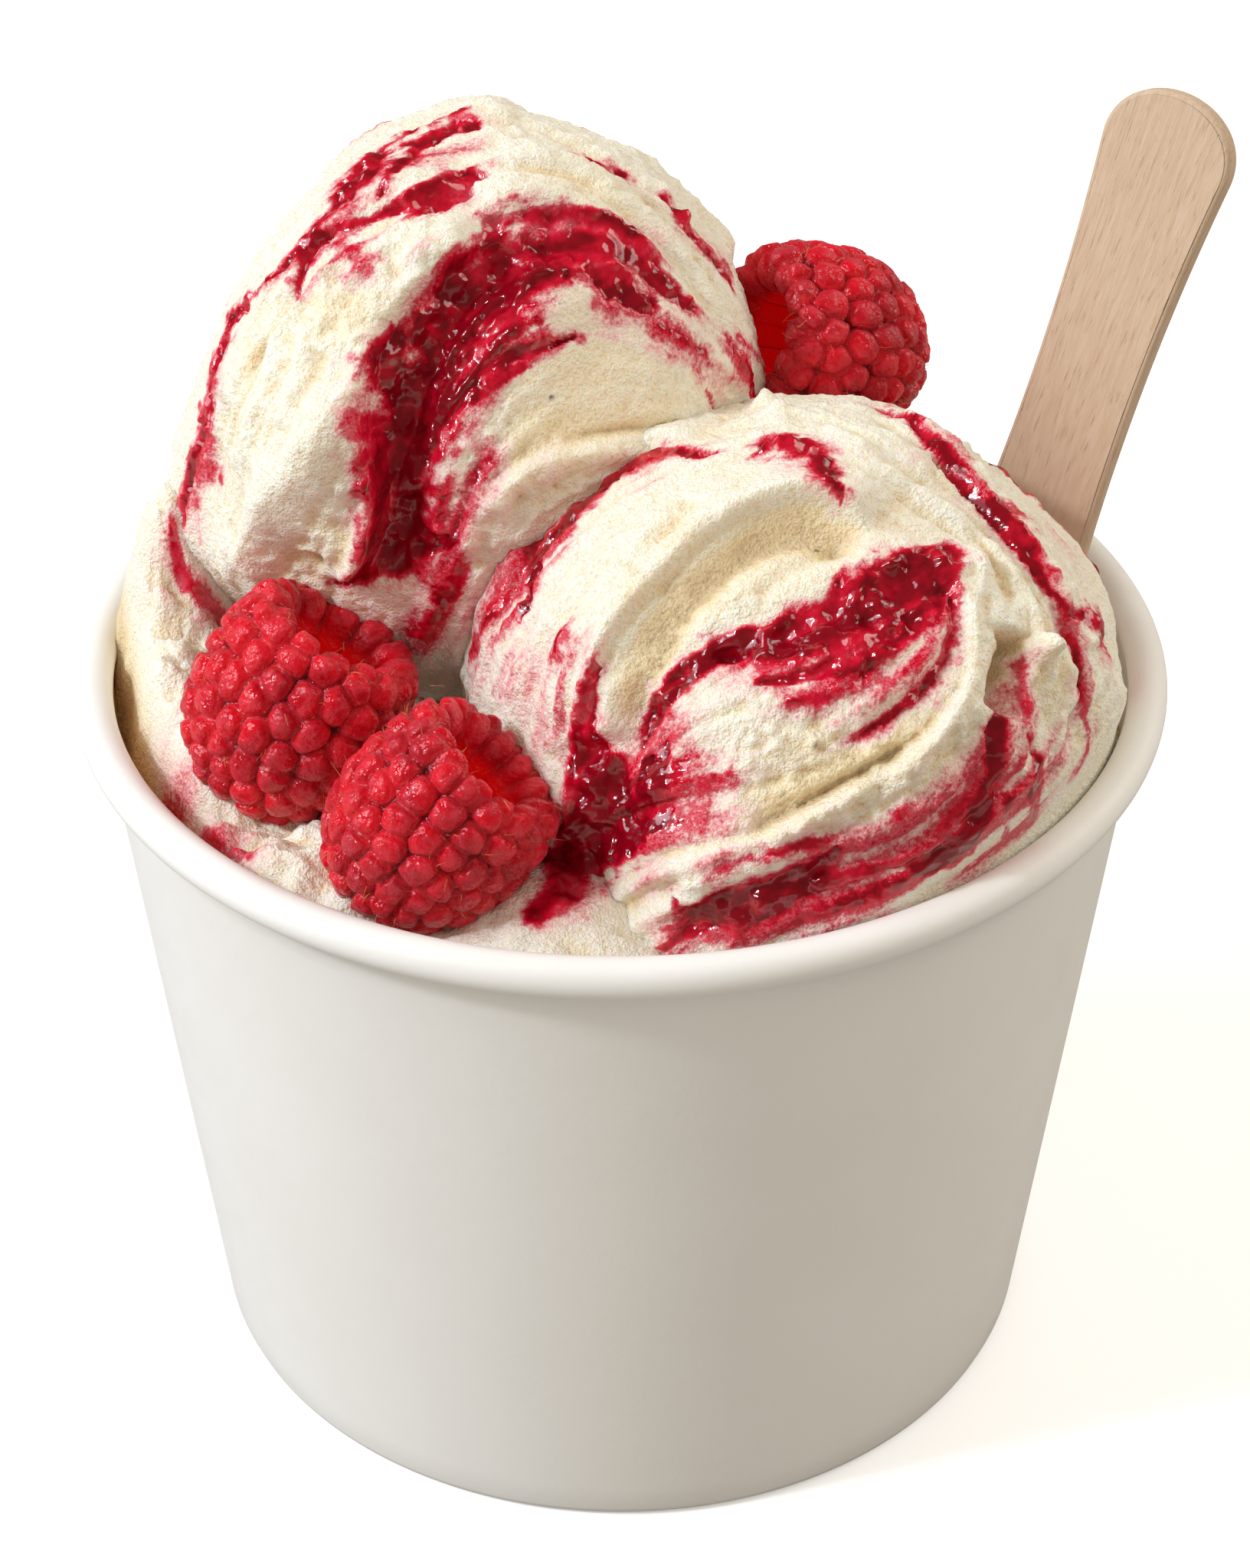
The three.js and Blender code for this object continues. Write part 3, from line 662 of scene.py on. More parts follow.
# Directions on a scoop are [azimuth, elevation] in degrees from its centre, as in the solids.
# A lobe swells the scoop over a spread; a ledge is a sheet proud on the left of its path; a ridge follows its path.
backScoop = {
    "centre": (-13.1, 13, 84.4),
    "radius": 25.7,
    "lobes": [
        ((168, 30), 30, -4), ((148, 54), 18, -2), ((-160, -16), 16, 3), ((88, 68), 11, 0.5),
        ((56, 58), 11, -1.5), ((-68, 30), 26, -1.2), ((-118, 22), 16, 1.1), ((17, 29), 4, 1.3),
    ],
    "ledges": [
        ([[-113, -10], [-106, 4], [-106, 16], [-109, 29], [-108, 42], [-97, 54], [-75, 62]], 2.4, 11, 0.9),
        ([[-128, -24], [-150, -31], [-157, -23], [-164, -14], [-168, -2]], -2.4, 6, 0.5),
        ([[-37, 14], [-56, 19], [-72, 19], [-84, 13], [-92, 0]], 1.5, 6, 0.4),
        ([[-134, 40], [-139, 51], [-130, 59], [-112, 67], [-80, 74]], 1, 6, 0.2),
        ([[-16, 10], [-17, 36], [-14, 52], [-10, 67], [-17, 85]], 0.9, 7, 0.2),
        ([[60, 8], [84, 22], [112, 25], [142, 14]], 1.8, 9, 0.5),
        ([[20, 20], [58, 40], [105, 45], [150, 42]], 1.2, 8, 0.4),
    ],
    "ridges": [
        ([[-41, 53], [-65, 59], [-85, 51], [-96, 40], [-100, 29], [-102, 16], [-101, 5], [-109, -6]], -2, 2.4),
        ([[-145, -21], [-129, 3], [-119, 18], [-114, 30]], 1.6, 3.2),
        ([[30, -8], [62, -4], [96, 4], [128, 0]], -1.3, 2),
    ],
    # Finer folds, in points of the photograph: rise and width in millimetres.
    "folds": [
        ([(462, 490), (418, 580), (352, 660), (312, 758)], 1.2, 2.0),
        ([(300, 520), (280, 590), (268, 650)], -0.5, 0.9),
        ([(362, 440), (346, 500), (330, 560), (320, 625)], 0.5, 0.9),
        ([(402, 440), (388, 500), (362, 560)], 0.5, 0.8),
        ([(334, 600), (320, 660), (298, 715)], -0.5, 0.9),
        ([(520, 330), (500, 390), (480, 440)], -0.5, 0.9),
        ([(560, 290), (520, 300), (470, 360)], 0.5, 0.9),
        ([(590, 170), (690, 165), (780, 200), (860, 260)], -0.5, 0.8),
        ([(780, 590), (860, 575), (930, 575)], -0.5, 0.7),
        ([(700, 640), (750, 600), (820, 590)], 0.5, 0.8),
        ([(456, 545), (476, 610), (485, 680), (464, 728), (428, 757)], 0.8, 0.8),
        ([(345, 440), (325, 490), (305, 545), (300, 600)], -0.6, 1.0),
        ([(382, 430), (372, 480), (350, 520)], -0.56, 0.8),
        ([(420, 455), (402, 500), (385, 540)], -0.56, 0.8),
        ([(640, 185), (740, 195), (830, 245), (905, 330), (950, 420)], -0.49, 0.8),
        ([(650, 225), (740, 232), (820, 280), (890, 350), (935, 430)], -0.56, 0.9),
        ([(620, 265), (700, 255), (790, 290), (870, 345)], 0.56, 1.0),
        ([(690, 640), (650, 690), (620, 750)], -0.7, 1.0),
        ([(745, 575), (680, 620), (640, 680)], 0.7, 1.0),
        ([(900, 560), (800, 570), (720, 600)], -0.56, 0.7),
    ],
    # Lines along which the gelato was dragged.
    "drags": [
        [(330, 760), (400, 650), (450, 520), (530, 400), (640, 310), (760, 290), (870, 350), (950, 440)],
        [(260, 680), (270, 560), (320, 450), (400, 340), (500, 260), (620, 210)],
        [(480, 740), (510, 620), (560, 480), (650, 370), (750, 340), (850, 380), (930, 450)],
        [(560, 700), (600, 580), (680, 480), (780, 440), (880, 470), (950, 520)],
        [(620, 740), (660, 650), (740, 590), (840, 560), (940, 550)],
        [(420, 250), (500, 200), (600, 170), (700, 170), (800, 220), (900, 300), (980, 420)],
        [(600, 200), (720, 200), (830, 260), (920, 350), (980, 450)],
    ],
    "unseenDrags": [
        [[60, 8], [84, 22], [112, 25], [142, 14]], [[20, 20], [58, 40], [105, 45], [150, 42]],
        [[30, -8], [62, -4], [96, 4], [128, 0]], [[0, 0], [40, -20], [90, -22], [150, -18]],
    ],
    # Rough and smooth parts: a point of the photograph, a radius in pixels and an amount.
    "texture": [
        (450, 400, 75, 1.0), (560, 330, 40, 0.5), (470, 660, 50, 0.8), (400, 720, 50, 0.7),
        (760, 480, 115, -0.85), (600, 600, 50, 0.3), (880, 240, 80, 0.5), (640, 150, 50, 0.6),
        (300, 600, 80, -0.3), (620, 700, 60, 0.5), (250, 760, 40, 0.7), (940, 420, 60, 0.5),
        (1000, 500, 40, 0.7), (800, 230, 60, 0.4), (680, 580, 70, 0.3),
    ],
    # Where the drag leaves deeper or shallower lines.
    "combed": [
        (330, 520, 90, 1.0), (380, 480, 60, 0.5), (700, 250, 90, 0.5), (850, 280, 70, 0.5),
        (760, 480, 110, -0.7), (650, 640, 80, 0.5), (560, 440, 70, 0.6),
    ],
    # Pink stain round the ripple.
    "blush": [
        (505, 560, 26, 0.16), (482, 630, 18, 0.18), (600, 640, 42, 0.12), (650, 690, 48, 0.1),
        (570, 730, 36, 0.22), (590, 670, 26, 0.16), (640, 292, 28, 0.2), (575, 350, 28, 0.3),
        (550, 400, 26, 0.22), (700, 275, 22, 0.15), (850, 320, 30, 0.2), (640, 345, 22, 0.12),
        (690, 305, 20, -0.5), (440, 325, 40, 0.18), (470, 310, 24, 0.15), (400, 370, 22, 0.14),
        (560, 205, 34, 0.2), (470, 265, 28, 0.2), (610, 190, 26, 0.2), (520, 250, 26, 0.14),
        (285, 500, 28, 0.2), (262, 600, 30, 0.26), (300, 400, 26, 0.14), (262, 700, 20, 0.12),
        (245, 660, 22, 0.25), (905, 425, 40, 0.14), (965, 480, 34, 0.22), (870, 455, 36, 0.14),
        (985, 525, 26, 0.2), (700, 440, 26, 0.1), (800, 410, 30, 0.16), (605, 790, 50, 0.24),
        (560, 840, 40, 0.3), (720, 610, 30, 0.1), (930, 330, 30, 0.16),
    ],
    "unseenBlush": [
        ((80, 15), 5, 0.22), ((115, 20), 5, 0.2), ((60, 38), 4, 0.18), ((120, 44), 4, 0.18),
        ((95, 0), 4, 0.18), ((165, -10), 4, 0.2),
    ],
    # Painted shade: a deeper tan laid on the gelato in broad hollows.
    "tan": [
        (450, 400, 40, 0.3), (330, 470, 26, 0.22), (310, 560, 24, 0.2), (420, 600, 40, 0.12),
        (780, 470, 110, 0.22), (720, 600, 60, 0.2), (440, 720, 30, 0.15), (860, 560, 50, 0.2),
        (760, 250, 60, 0.12),
    ],
    "specks": [(721, 519)],
    # Pale frost over the ripple, and painted highlight where the wet sauce catches the light.
    "frostAndHighlight": [
        (668, 312, 20, 0.75), (618, 345, 18, 0.6), (590, 402, 14, 0.5), (560, 436, 10, 0.4),
        (700, 318, 12, 0.5), (770, 338, 14, 0.35), (735, 300, 12, 0.4), (640, 655, 14, 0.4),
    ],
    # Small lumps: a point of the photograph, a radius in pixels and a rise in millimetres.
    "nubs": [
        (640, 148, 22, 0.9), (615, 140, 16, 0.5), (940, 335, 16, 0.9), (865, 250, 14, 0.6),
        (520, 175, 18, 0.5), (455, 335, 26, 0.8), (425, 365, 18, 0.5), (470, 655, 12, -0.8),
        (415, 730, 14, -0.9), (440, 690, 12, -0.6), (330, 745, 16, 0.5), (255, 735, 16, 0.6),
        (600, 660, 16, 0.5), (575, 690, 14, 0.5), (505, 470, 26, 0.7), (560, 440, 34, 0.5),
        (700, 350, 40, 0.6), (800, 340, 26, 0.6),
    ],
    # Ripple: points of the photograph with a half width in pixels, the amount, and how much it frays.
    "ripple": [
        ([(905, 408, 5), (880, 385, 11), (850, 352, 18), (815, 325, 26), (770, 318, 31), (720, 325, 40),
          (670, 352, 52), (625, 395, 54), (590, 440, 44), (573, 490, 40), (548, 545, 46), (527, 600, 38),
          (523, 650, 38), (520, 700, 39), (500, 725, 28), (470, 748, 15), (444, 764, 6)], 1.0, 0.35),
        ([(540, 705, 18), (575, 705, 13), (595, 700, 4)], 0.95, 0.3),
        ([(515, 440, 12), (505, 472, 22), (516, 505, 16), (536, 530, 14)], 0.95, 0.35),
        ([(775, 350, 10), (800, 368, 22), (825, 385, 22), (852, 395, 11)], 0.9, 0.5),
        ([(860, 425, 4), (885, 440, 6), (915, 462, 4)], 0.7, 0.7),
        ([(840, 335, 6), (870, 362, 6), (905, 400, 5)], 0.8, 0.6),
        ([(597, 500, 14), (620, 482, 12), (650, 468, 10), (690, 458, 7), (720, 450, 5),
          (748, 440, 3)], 0.75, 0.6),
        ([(590, 530, 12), (640, 500, 8), (680, 480, 5)], 0.6, 0.8),
        ([(640, 300, 10), (690, 288, 7), (740, 287, 9), (790, 300, 12), (826, 318, 14)], 0.8, 0.5),
        ([(640, 320, 6), (610, 335, 7), (585, 365, 8), (570, 400, 8), (550, 430, 9)], 0.65, 0.6),
        ([(628, 232, 9), (610, 232, 16), (590, 240, 18), (568, 252, 15), (545, 262, 12), (520, 268, 7),
          (495, 278, 5), (470, 288, 4), (445, 295, 5), (420, 308, 7), (405, 325, 8), (395, 350, 7),
          (388, 375, 4), (386, 392, 2)], 0.85, 0.6),
        ([(612, 255, 6), (580, 265, 6), (540, 275, 4)], 0.65, 0.7),
        ([(440, 315, 8), (456, 330, 15), (482, 345, 10)], 0.4, 0.9),
        ([(620, 163, 8), (600, 158, 12), (575, 168, 17), (555, 182, 15), (535, 200, 10), (512, 225, 7),
          (495, 250, 4)], 0.8, 0.6),
        ([(605, 150, 4), (570, 150, 6), (545, 165, 5), (520, 180, 5), (495, 195, 6)], 0.6, 0.7),
        ([(488, 198, 9), (480, 215, 18), (468, 232, 22), (455, 250, 18), (440, 268, 11), (425, 285, 8),
          (405, 305, 7), (380, 335, 5), (350, 365, 5), (325, 390, 4), (305, 415, 4)], 0.9, 0.45),
        ([(322, 395, 7), (304, 425, 9), (292, 455, 12), (284, 480, 12), (274, 510, 12), (268, 540, 10),
          (262, 570, 9), (254, 600, 13), (248, 620, 15), (242, 645, 10), (240, 680, 6)], 0.85, 0.7),
        ([(232, 700, 8), (225, 722, 11), (226, 738, 7), (240, 755, 8), (262, 775, 10), (285, 800, 10),
          (305, 818, 6)], 0.75, 0.6),
        ([(268, 560, 4), (256, 600, 4), (250, 630, 4)], 0.5, 0.8),
        ([(277, 627, 6), (281, 632, 5)], 0.55, 0.8),
        ([(750, 197, 4), (775, 207, 7), (800, 217, 9), (815, 222, 7)], 0.85, 0.4),
        ([(865, 258, 4), (885, 285, 6), (905, 310, 7), (925, 335, 8), (940, 352, 7), (955, 375, 5)], 0.85, 0.5),
        ([(945, 440, 4), (958, 465, 6), (972, 490, 8), (985, 515, 10), (1002, 532, 10)], 0.75, 0.7),
        ([(960, 445, 5), (990, 470, 6), (1005, 500, 6)], 0.4, 0.9),
        ([(925, 510, 3), (940, 530, 4), (956, 556, 3)], 0.6, 0.7),
        ([(580, 640, 12), (575, 665, 10), (592, 692, 8)], 0.35, 0.9),
        ([(640, 600, 5), (618, 632, 6)], 0.35, 0.9),
        ([(600, 740, 10), (578, 790, 13), (552, 832, 14)], 0.5, 0.8),
        ([(640, 590, 10), (620, 560, 20), (640, 520, 14)], 0.2, 0.9),
        ([(470, 520, 12), (478, 560, 12), (485, 600, 8)], 0.15, 0.9),
        ([(900, 470, 14), (940, 500, 12)], 0.15, 0.9),
    ],
    "unseenRipple": [
        ([(58, 6, 1.2), (84, 20, 2.6), (112, 23, 2.0), (140, 12, 1.0)], 0.95, 0.5),
        ([(20, 18, 0.6), (58, 37, 1.4), (105, 42, 1.2), (148, 40, 0.5)], 0.8, 0.6),
        ([(40, -6, 0.8), (70, -6, 1.3), (100, 0, 1.0), (125, -4, 0.5)], 0.85, 0.5),
        ([(150, 0, 0.8), (162, -12, 1.2), (170, -22, 0.8)], 0.7, 0.6),
        ([(10, -14, 0.8), (30, -22, 1.4), (52, -20, 0.7)], 0.7, 0.6),
    ],
}

frontScoop = {
    "centre": (15.1, -11.6, 66.6),
    "radius": 27.3,
    "lobes": [
        ((166, 26), 28, 2), ((26, 44), 18, -1), ((102, 60), 5, 1), ((69, 60), 6, 0.6), ((-36, 36), 3, 1.4),
        ((-112, -8), 16, 2.6), ((-100, 62), 15, -1), ((-62, 40), 16, 0.8),
    ],
    "ledges": [
        ([[-135, 22], [-138, 34], [-139, 43], [-137, 55], [-132, 67], [-110, 75], [-74, 75],
          [-59, 68]], 2.3, 8, 0.9),
        ([[-50, 60], [-49, 48], [-56, 39], [-67, 32], [-82, 26], [-97, 18], [-111, 12],
          [-125, 0]], 1.7, 7, 0.6),
        ([[67, 60], [19, 66], [-7, 58], [-20, 46], [-27, 33], [-35, 20]], 1.3, 7, 0.4),
        ([[-168, 20], [-174, 35], [178, 41], [169, 49], [159, 59], [158, 71]], 1.6, 9, 0.6),
        ([[10, 6], [32, 26], [62, 36], [96, 34]], 1.7, 8, 0.5),
        ([[26, -8], [50, 10], [80, 17], [110, 14]], 1.2, 7, 0.4),
    ],
    "ridges": [
        ([[-44, 57], [-65, 56], [-87, 54], [-106, 49], [-119, 43], [-124, 34], [-125, 20]], -1.5, 2),
        ([[-135, 26], [-130, 19], [-127, 12], [-133, 0]], -2, 3),
        ([[-40, 42], [-47, 37], [-53, 31]], -2.2, 1.6),
        ([[-58, 32], [-64, 22], [-75, 15], [-90, 11], [-104, 4], [-113, -4]], -1.2, 2),
    ],
    "folds": [
        ([(798, 985), (791, 925), (802, 865), (831, 806), (877, 748), (924, 707), (971, 672), (1020, 652),
          (1066, 652), (1112, 666), (1150, 690)], 0.9, 1.2),
        ([(832, 985), (824, 925), (838, 868), (866, 815), (908, 765), (952, 727), (998, 702), (1048, 693),
          (1096, 700), (1135, 716)], -1.7, 1.9),
        ([(1333, 822), (1318, 850), (1307, 880), (1305, 912), (1313, 938)], -1.6, 0.9),
        ([(1352, 832), (1358, 856)], 0.8, 1.2),
        ([(900, 640), (860, 690), (815, 750)], -0.49, 0.9),
        ([(945, 650), (880, 720), (850, 780)], -0.42, 0.8),
        ([(1110, 700), (1040, 740), (980, 780)], -0.56, 0.9),
        ([(1120, 590), (1210, 640), (1290, 720), (1330, 800)], -0.7, 0.9),
        ([(1060, 560), (1150, 600), (1240, 670), (1300, 760)], 0.63, 1.0),
        ([(1180, 620), (1270, 690), (1340, 780), (1370, 880)], 0.56, 0.8),
        ([(1200, 985), (1130, 1020), (1040, 1060), (980, 1095)], -1.0, 1.0),
        ([(1215, 1000), (1145, 1035), (1055, 1078), (990, 1112)], 0.7, 0.9),
        ([(1260, 780), (1270, 860), (1240, 950), (1180, 1020)], 0.7, 0.9),
        ([(1290, 760), (1290, 840), (1265, 930), (1215, 1010)], -0.7, 0.8),
        ([(1345, 860), (1345, 940), (1325, 1020)], 0.7, 0.7),
        ([(1385, 830), (1390, 920), (1375, 1010)], 0.7, 0.8),
        ([(860, 1170), (950, 1140), (1050, 1110)], 0.63, 0.9),
        ([(760, 1215), (830, 1180), (900, 1150)], -0.56, 0.8),
        ([(800, 1230), (870, 1195), (930, 1170)], 0.56, 0.8),
        ([(1130, 880), (1190, 860), (1225, 800)], -0.49, 0.7),
    ],
    "drags": [
        [(650, 830), (720, 740), (800, 660), (900, 600), (1000, 570)],
        [(770, 960), (790, 880), (840, 790), (900, 720), (980, 670), (1060, 660), (1140, 690), (1220, 740)],
        [(840, 960), (870, 900), (950, 850), (1060, 800), (1150, 760), (1230, 740)],
        [(900, 1020), (1000, 1000), (1100, 960), (1180, 910), (1240, 840), (1260, 770)],
        [(880, 1100), (1000, 1080), (1120, 1030), (1220, 960), (1280, 860), (1290, 780)],
        [(720, 1200), (860, 1150), (1000, 1100), (1150, 1060), (1250, 980), (1310, 880)],
        [(900, 1230), (1050, 1170), (1200, 1110), (1300, 1000), (1350, 880), (1340, 760), (1280, 680),
          (1180, 600), (1100, 560)],
        [(1240, 1130), (1340, 1050), (1400, 950), (1410, 850), (1370, 750), (1300, 660), (1200, 580)],
    ],
    "unseenDrags": [
        [[10, 6], [32, 26], [62, 36], [96, 34]], [[26, -8], [50, 10], [80, 17], [110, 14]],
        [[0, 40], [40, 55], [90, 55]],
    ],
    "texture": [
        (1290, 600, 90, 0.7), (1400, 900, 60, 0.8), (1080, 690, 110, -0.8), (880, 700, 110, -0.5),
        (1100, 1000, 90, 0.3), (1000, 560, 50, 0.7), (680, 850, 60, 0.6), (1010, 930, 70, 0.4),
        (900, 1180, 80, 0.5), (1150, 1000, 60, 0.9), (1040, 1060, 50, 0.9), (1010, 535, 40, 1.0),
        (1200, 590, 60, 0.7), (1350, 740, 50, 0.7), (1420, 850, 50, 0.9), (720, 1000, 40, 0.5),
        (640, 780, 50, 0.6), (880, 780, 40, 0.5), (960, 780, 40, 0.5), (1330, 870, 40, 0.8),
    ],
    "combed": [
        (1290, 1010, 90, 1.2), (1380, 950, 70, 1.0), (900, 1180, 90, 1.0), (1120, 1120, 90, 0.8),
        (1290, 700, 90, 0.8), (1250, 640, 60, 0.6), (850, 720, 80, 0.5), (1060, 700, 110, -0.8),
        (1080, 930, 70, -0.4), (1150, 880, 60, 0.6), (720, 880, 60, 0.6), (1190, 960, 60, 0.5),
    ],
    "blush": [
        (650, 800, 46, 0.24), (620, 880, 44, 0.2), (690, 880, 44, 0.16), (705, 960, 36, 0.22),
        (650, 760, 36, 0.2), (745, 840, 26, 0.22), (765, 620, 36, 0.2), (700, 690, 36, 0.26),
        (845, 625, 26, 0.16), (730, 720, 22, 0.2), (1040, 590, 32, 0.18), (1200, 600, 24, 0.14),
        (1262, 650, 26, 0.16), (1325, 705, 26, 0.2), (1402, 810, 26, 0.2), (1440, 860, 22, 0.16),
        (1150, 880, 44, 0.22), (1060, 890, 36, 0.3), (1200, 850, 38, 0.26), (1228, 800, 24, 0.26),
        (1120, 930, 36, 0.14), (950, 880, 26, 0.12), (1000, 970, 46, 0.06), (870, 960, 36, 0.2),
        (905, 1030, 50, 0.2), (845, 1100, 40, 0.26), (940, 1080, 46, 0.1), (850, 1180, 34, 0.12),
        (1310, 1010, 46, 0.3), (1345, 1065, 46, 0.32), (1240, 1060, 50, 0.34), (1385, 985, 34, 0.2),
        (1405, 900, 24, 0.2), (1345, 930, 26, 0.2), (1200, 1095, 46, 0.34), (1130, 1140, 44, 0.3),
        (1060, 1200, 44, 0.3), (1160, 1185, 40, 0.34), (985, 1225, 34, 0.2), (1290, 1120, 44, 0.36),
        (1105, 1100, 36, 0.2), (950, 1140, 26, 0.12), (885, 1240, 26, 0.2), (760, 1200, 30, 0.1),
    ],
    "unseenBlush": [
        ((35, 28), 5, 0.22), ((60, 38), 5, 0.18), ((52, 12), 5, 0.18), ((90, 16), 5, 0.18), ((5, 40), 4, 0.14),
    ],
    # Painted shade: a deeper tan laid on the gelato in broad hollows.
    "tan": [
        (835, 900, 34, 0.45), (860, 830, 30, 0.45), (910, 770, 30, 0.4), (980, 722, 32, 0.32),
        (1050, 706, 32, 0.3), (925, 765, 24, 0.28), (1110, 710, 30, 0.2), (1000, 760, 60, 0.12),
        (1325, 880, 26, 0.8), (1080, 1000, 60, 0.35), (1160, 970, 40, 0.3), (1000, 1060, 50, 0.3),
        (1420, 950, 30, 0.3), (880, 690, 30, 0.2), (820, 760, 24, 0.2), (1260, 860, 40, 0.15),
    ],
    "specks": [(1068, 704), (1064, 972)],
    # Pale frost over the ripple, and painted highlight where the wet sauce catches the light.
    "frostAndHighlight": [
        (1188, 815, 9, 0.5), (1120, 858, 20, 0.45), (1160, 850, 18, 0.4), (865, 1035, 12, 0.35),
        (1005, 1140, 12, 0.3), (1300, 1030, 10, 0.35),
    ],
    "nubs": [
        (1000, 533, 15, 1.5), (1015, 545, 24, 0.6), (1121, 540, 26, 0.7), (1180, 560, 20, 0.5),
        (1356, 850, 16, 1.4), (1345, 800, 20, 0.5), (1270, 730, 22, 0.6), (1195, 748, 26, 0.9),
        (1225, 735, 18, 0.6), (1150, 790, 30, 0.8), (1170, 830, 12, -1.3), (1190, 808, 10, -0.8),
        (1080, 830, 30, 0.6), (1010, 840, 24, 0.6), (1460, 900, 24, 0.7), (1455, 945, 20, 0.5),
        (1395, 770, 16, 0.6), (1420, 815, 20, 0.9), (1330, 690, 18, 0.6), (1035, 585, 22, 0.6),
        (785, 1030, 34, 0.8), (770, 1090, 26, 0.7), (740, 1050, 18, 0.5), (735, 840, 16, 0.7),
        (1270, 1095, 24, 0.7), (1000, 1165, 26, 0.5), (940, 1190, 20, 0.5), (855, 1030, 18, 0.5),
    ],
    "ripple": [
        ([(932, 588, 4), (905, 592, 6), (880, 592, 8), (855, 597, 12), (825, 612, 14), (800, 630, 13),
          (775, 645, 14), (755, 665, 14), (735, 690, 12), (715, 715, 12), (702, 740, 12), (695, 765, 12),
          (685, 790, 8), (678, 805, 4)], 0.95, 0.4),
        ([(800, 590, 4), (790, 600, 8), (775, 620, 8), (750, 650, 6)], 0.6, 0.8),
        ([(735, 645, 8), (722, 660, 13), (712, 685, 15), (700, 710, 12), (690, 740, 6)], 0.65, 0.7),
        ([(996, 590, 5), (1003, 577, 11), (1030, 582, 16), (1055, 590, 19), (1075, 605, 14), (1088, 625, 8),
          (1100, 648, 3)], 0.85, 0.5),
        ([(1134, 536, 4), (1160, 545, 7), (1190, 560, 8), (1215, 580, 7), (1240, 605, 7), (1260, 630, 6),
          (1280, 650, 6), (1300, 665, 6), (1315, 685, 10), (1335, 700, 12), (1350, 720, 10),
          (1358, 742, 5)], 0.85, 0.5),
        ([(1302, 655, 6), (1320, 665, 8), (1337, 672, 8)], 0.6, 0.7),
        ([(1360, 745, 4), (1375, 770, 3), (1390, 790, 4), (1402, 800, 9), (1420, 810, 14), (1435, 825, 10),
          (1444, 845, 6), (1450, 864, 3)], 0.85, 0.5),
        ([(1238, 722, 14), (1210, 752, 40), (1168, 788, 47), (1120, 812, 43), (1075, 828, 37),
          (1030, 838, 30), (990, 842, 21), (950, 848, 16), (915, 862, 15), (890, 885, 14), (868, 910, 14),
          (850, 935, 12), (842, 958, 9), (838, 976, 4)], 1.05, 0.3),
        ([(1200, 820, 14), (1150, 850, 15), (1090, 872, 14), (1035, 885, 10), (988, 892, 6)], 0.8, 0.6),
        ([(1150, 885, 7), (1090, 908, 6), (1030, 918, 4)], 0.45, 0.9),
        ([(1245, 780, 5), (1243, 810, 6), (1240, 835, 7), (1230, 865, 7), (1212, 893, 6), (1188, 917, 6),
          (1162, 936, 5), (1138, 950, 4), (1118, 962, 3)], 0.7, 0.7),
        ([(1220, 850, 16), (1170, 890, 18), (1110, 920, 12)], 0.22, 0.9),
        ([(776, 872, 5), (771, 900, 8), (765, 925, 10), (768, 950, 14), (776, 978, 22), (790, 1012, 38),
          (798, 1050, 46), (790, 1085, 42), (765, 1112, 32), (735, 1142, 24), (705, 1176, 18),
          (684, 1202, 8)], 1.05, 0.3),
        ([(845, 1000, 14), (850, 1025, 28), (862, 1000, 14), (866, 972, 6)], 0.9, 0.5),
        ([(862, 1060, 18), (835, 1080, 20), (800, 1110, 14)], 0.9, 0.5),
        ([(790, 1140, 8), (765, 1155, 12), (735, 1172, 14), (700, 1192, 10)], 0.8, 0.6),
        ([(1300, 930, 7), (1305, 950, 11), (1300, 980, 13), (1295, 1010, 13), (1285, 1040, 14),
          (1275, 1070, 16), (1264, 1094, 21), (1248, 1110, 24), (1228, 1125, 18), (1198, 1136, 9)], 1.0, 0.45),
        ([(1340, 960, 5), (1350, 990, 9), (1351, 1020, 10), (1356, 1050, 9), (1368, 1082, 6)], 0.7, 0.7),
        ([(1335, 865, 3), (1335, 900, 3), (1340, 945, 4)], 0.5, 0.8),
        ([(1400, 825, 3), (1406, 860, 3), (1411, 900, 3), (1416, 940, 3), (1420, 980, 4),
          (1416, 1012, 3)], 0.55, 0.8),
        ([(1312, 1040, 6), (1318, 1075, 7), (1330, 1105, 6)], 0.55, 0.8),
        ([(1240, 1115, 14), (1200, 1125, 9), (1150, 1132, 6), (1100, 1148, 5), (1060, 1170, 5)], 0.55, 0.8),
        ([(1270, 1010, 10), (1250, 1050, 12), (1225, 1085, 10)], 0.4, 0.9),
        ([(1092, 1112, 8), (1078, 1130, 15), (1050, 1150, 19), (1010, 1168, 22), (970, 1180, 23),
          (932, 1187, 19), (905, 1193, 11), (884, 1182, 4)], 0.98, 0.4),
        ([(1075, 1108, 6), (1040, 1110, 4), (1008, 1116, 3)], 0.6, 0.8),
        ([(930, 1202, 9), (895, 1220, 8), (868, 1238, 5)], 0.75, 0.6),
        ([(985, 1122, 4), (940, 1138, 4)], 0.4, 0.9),
        ([(1180, 1150, 12), (1145, 1168, 10), (1100, 1185, 8), (1040, 1205, 6)], 0.45, 0.9),
        ([(1175, 1065, 6), (1180, 1060, 5)], 0.5, 0.8),
        ([(738, 832, 9), (724, 845, 10), (733, 860, 8)], 0.45, 0.8),
        ([(955, 1003, 4), (950, 1012, 3)], 0.45, 0.8),
        ([(930, 1020, 12), (910, 1050, 12)], 0.25, 0.9),
        ([(640, 780, 10), (625, 812, 12), (615, 852, 9)], 0.35, 0.9),
        ([(665, 862, 10), (650, 900, 14)], 0.25, 0.9),
        ([(732, 880, 5), (729, 930, 5), (722, 970, 5)], 0.3, 0.9),
        ([(900, 985, 8), (880, 1020, 8)], 0.3, 0.9),
        ([(1000, 900, 14), (1060, 905, 12)], 0.18, 0.9),
    ],
    "unseenRipple": [
        ([(8, 8, 0.8), (32, 28, 1.8), (62, 38, 1.4), (95, 36, 0.7)], 0.9, 0.5),
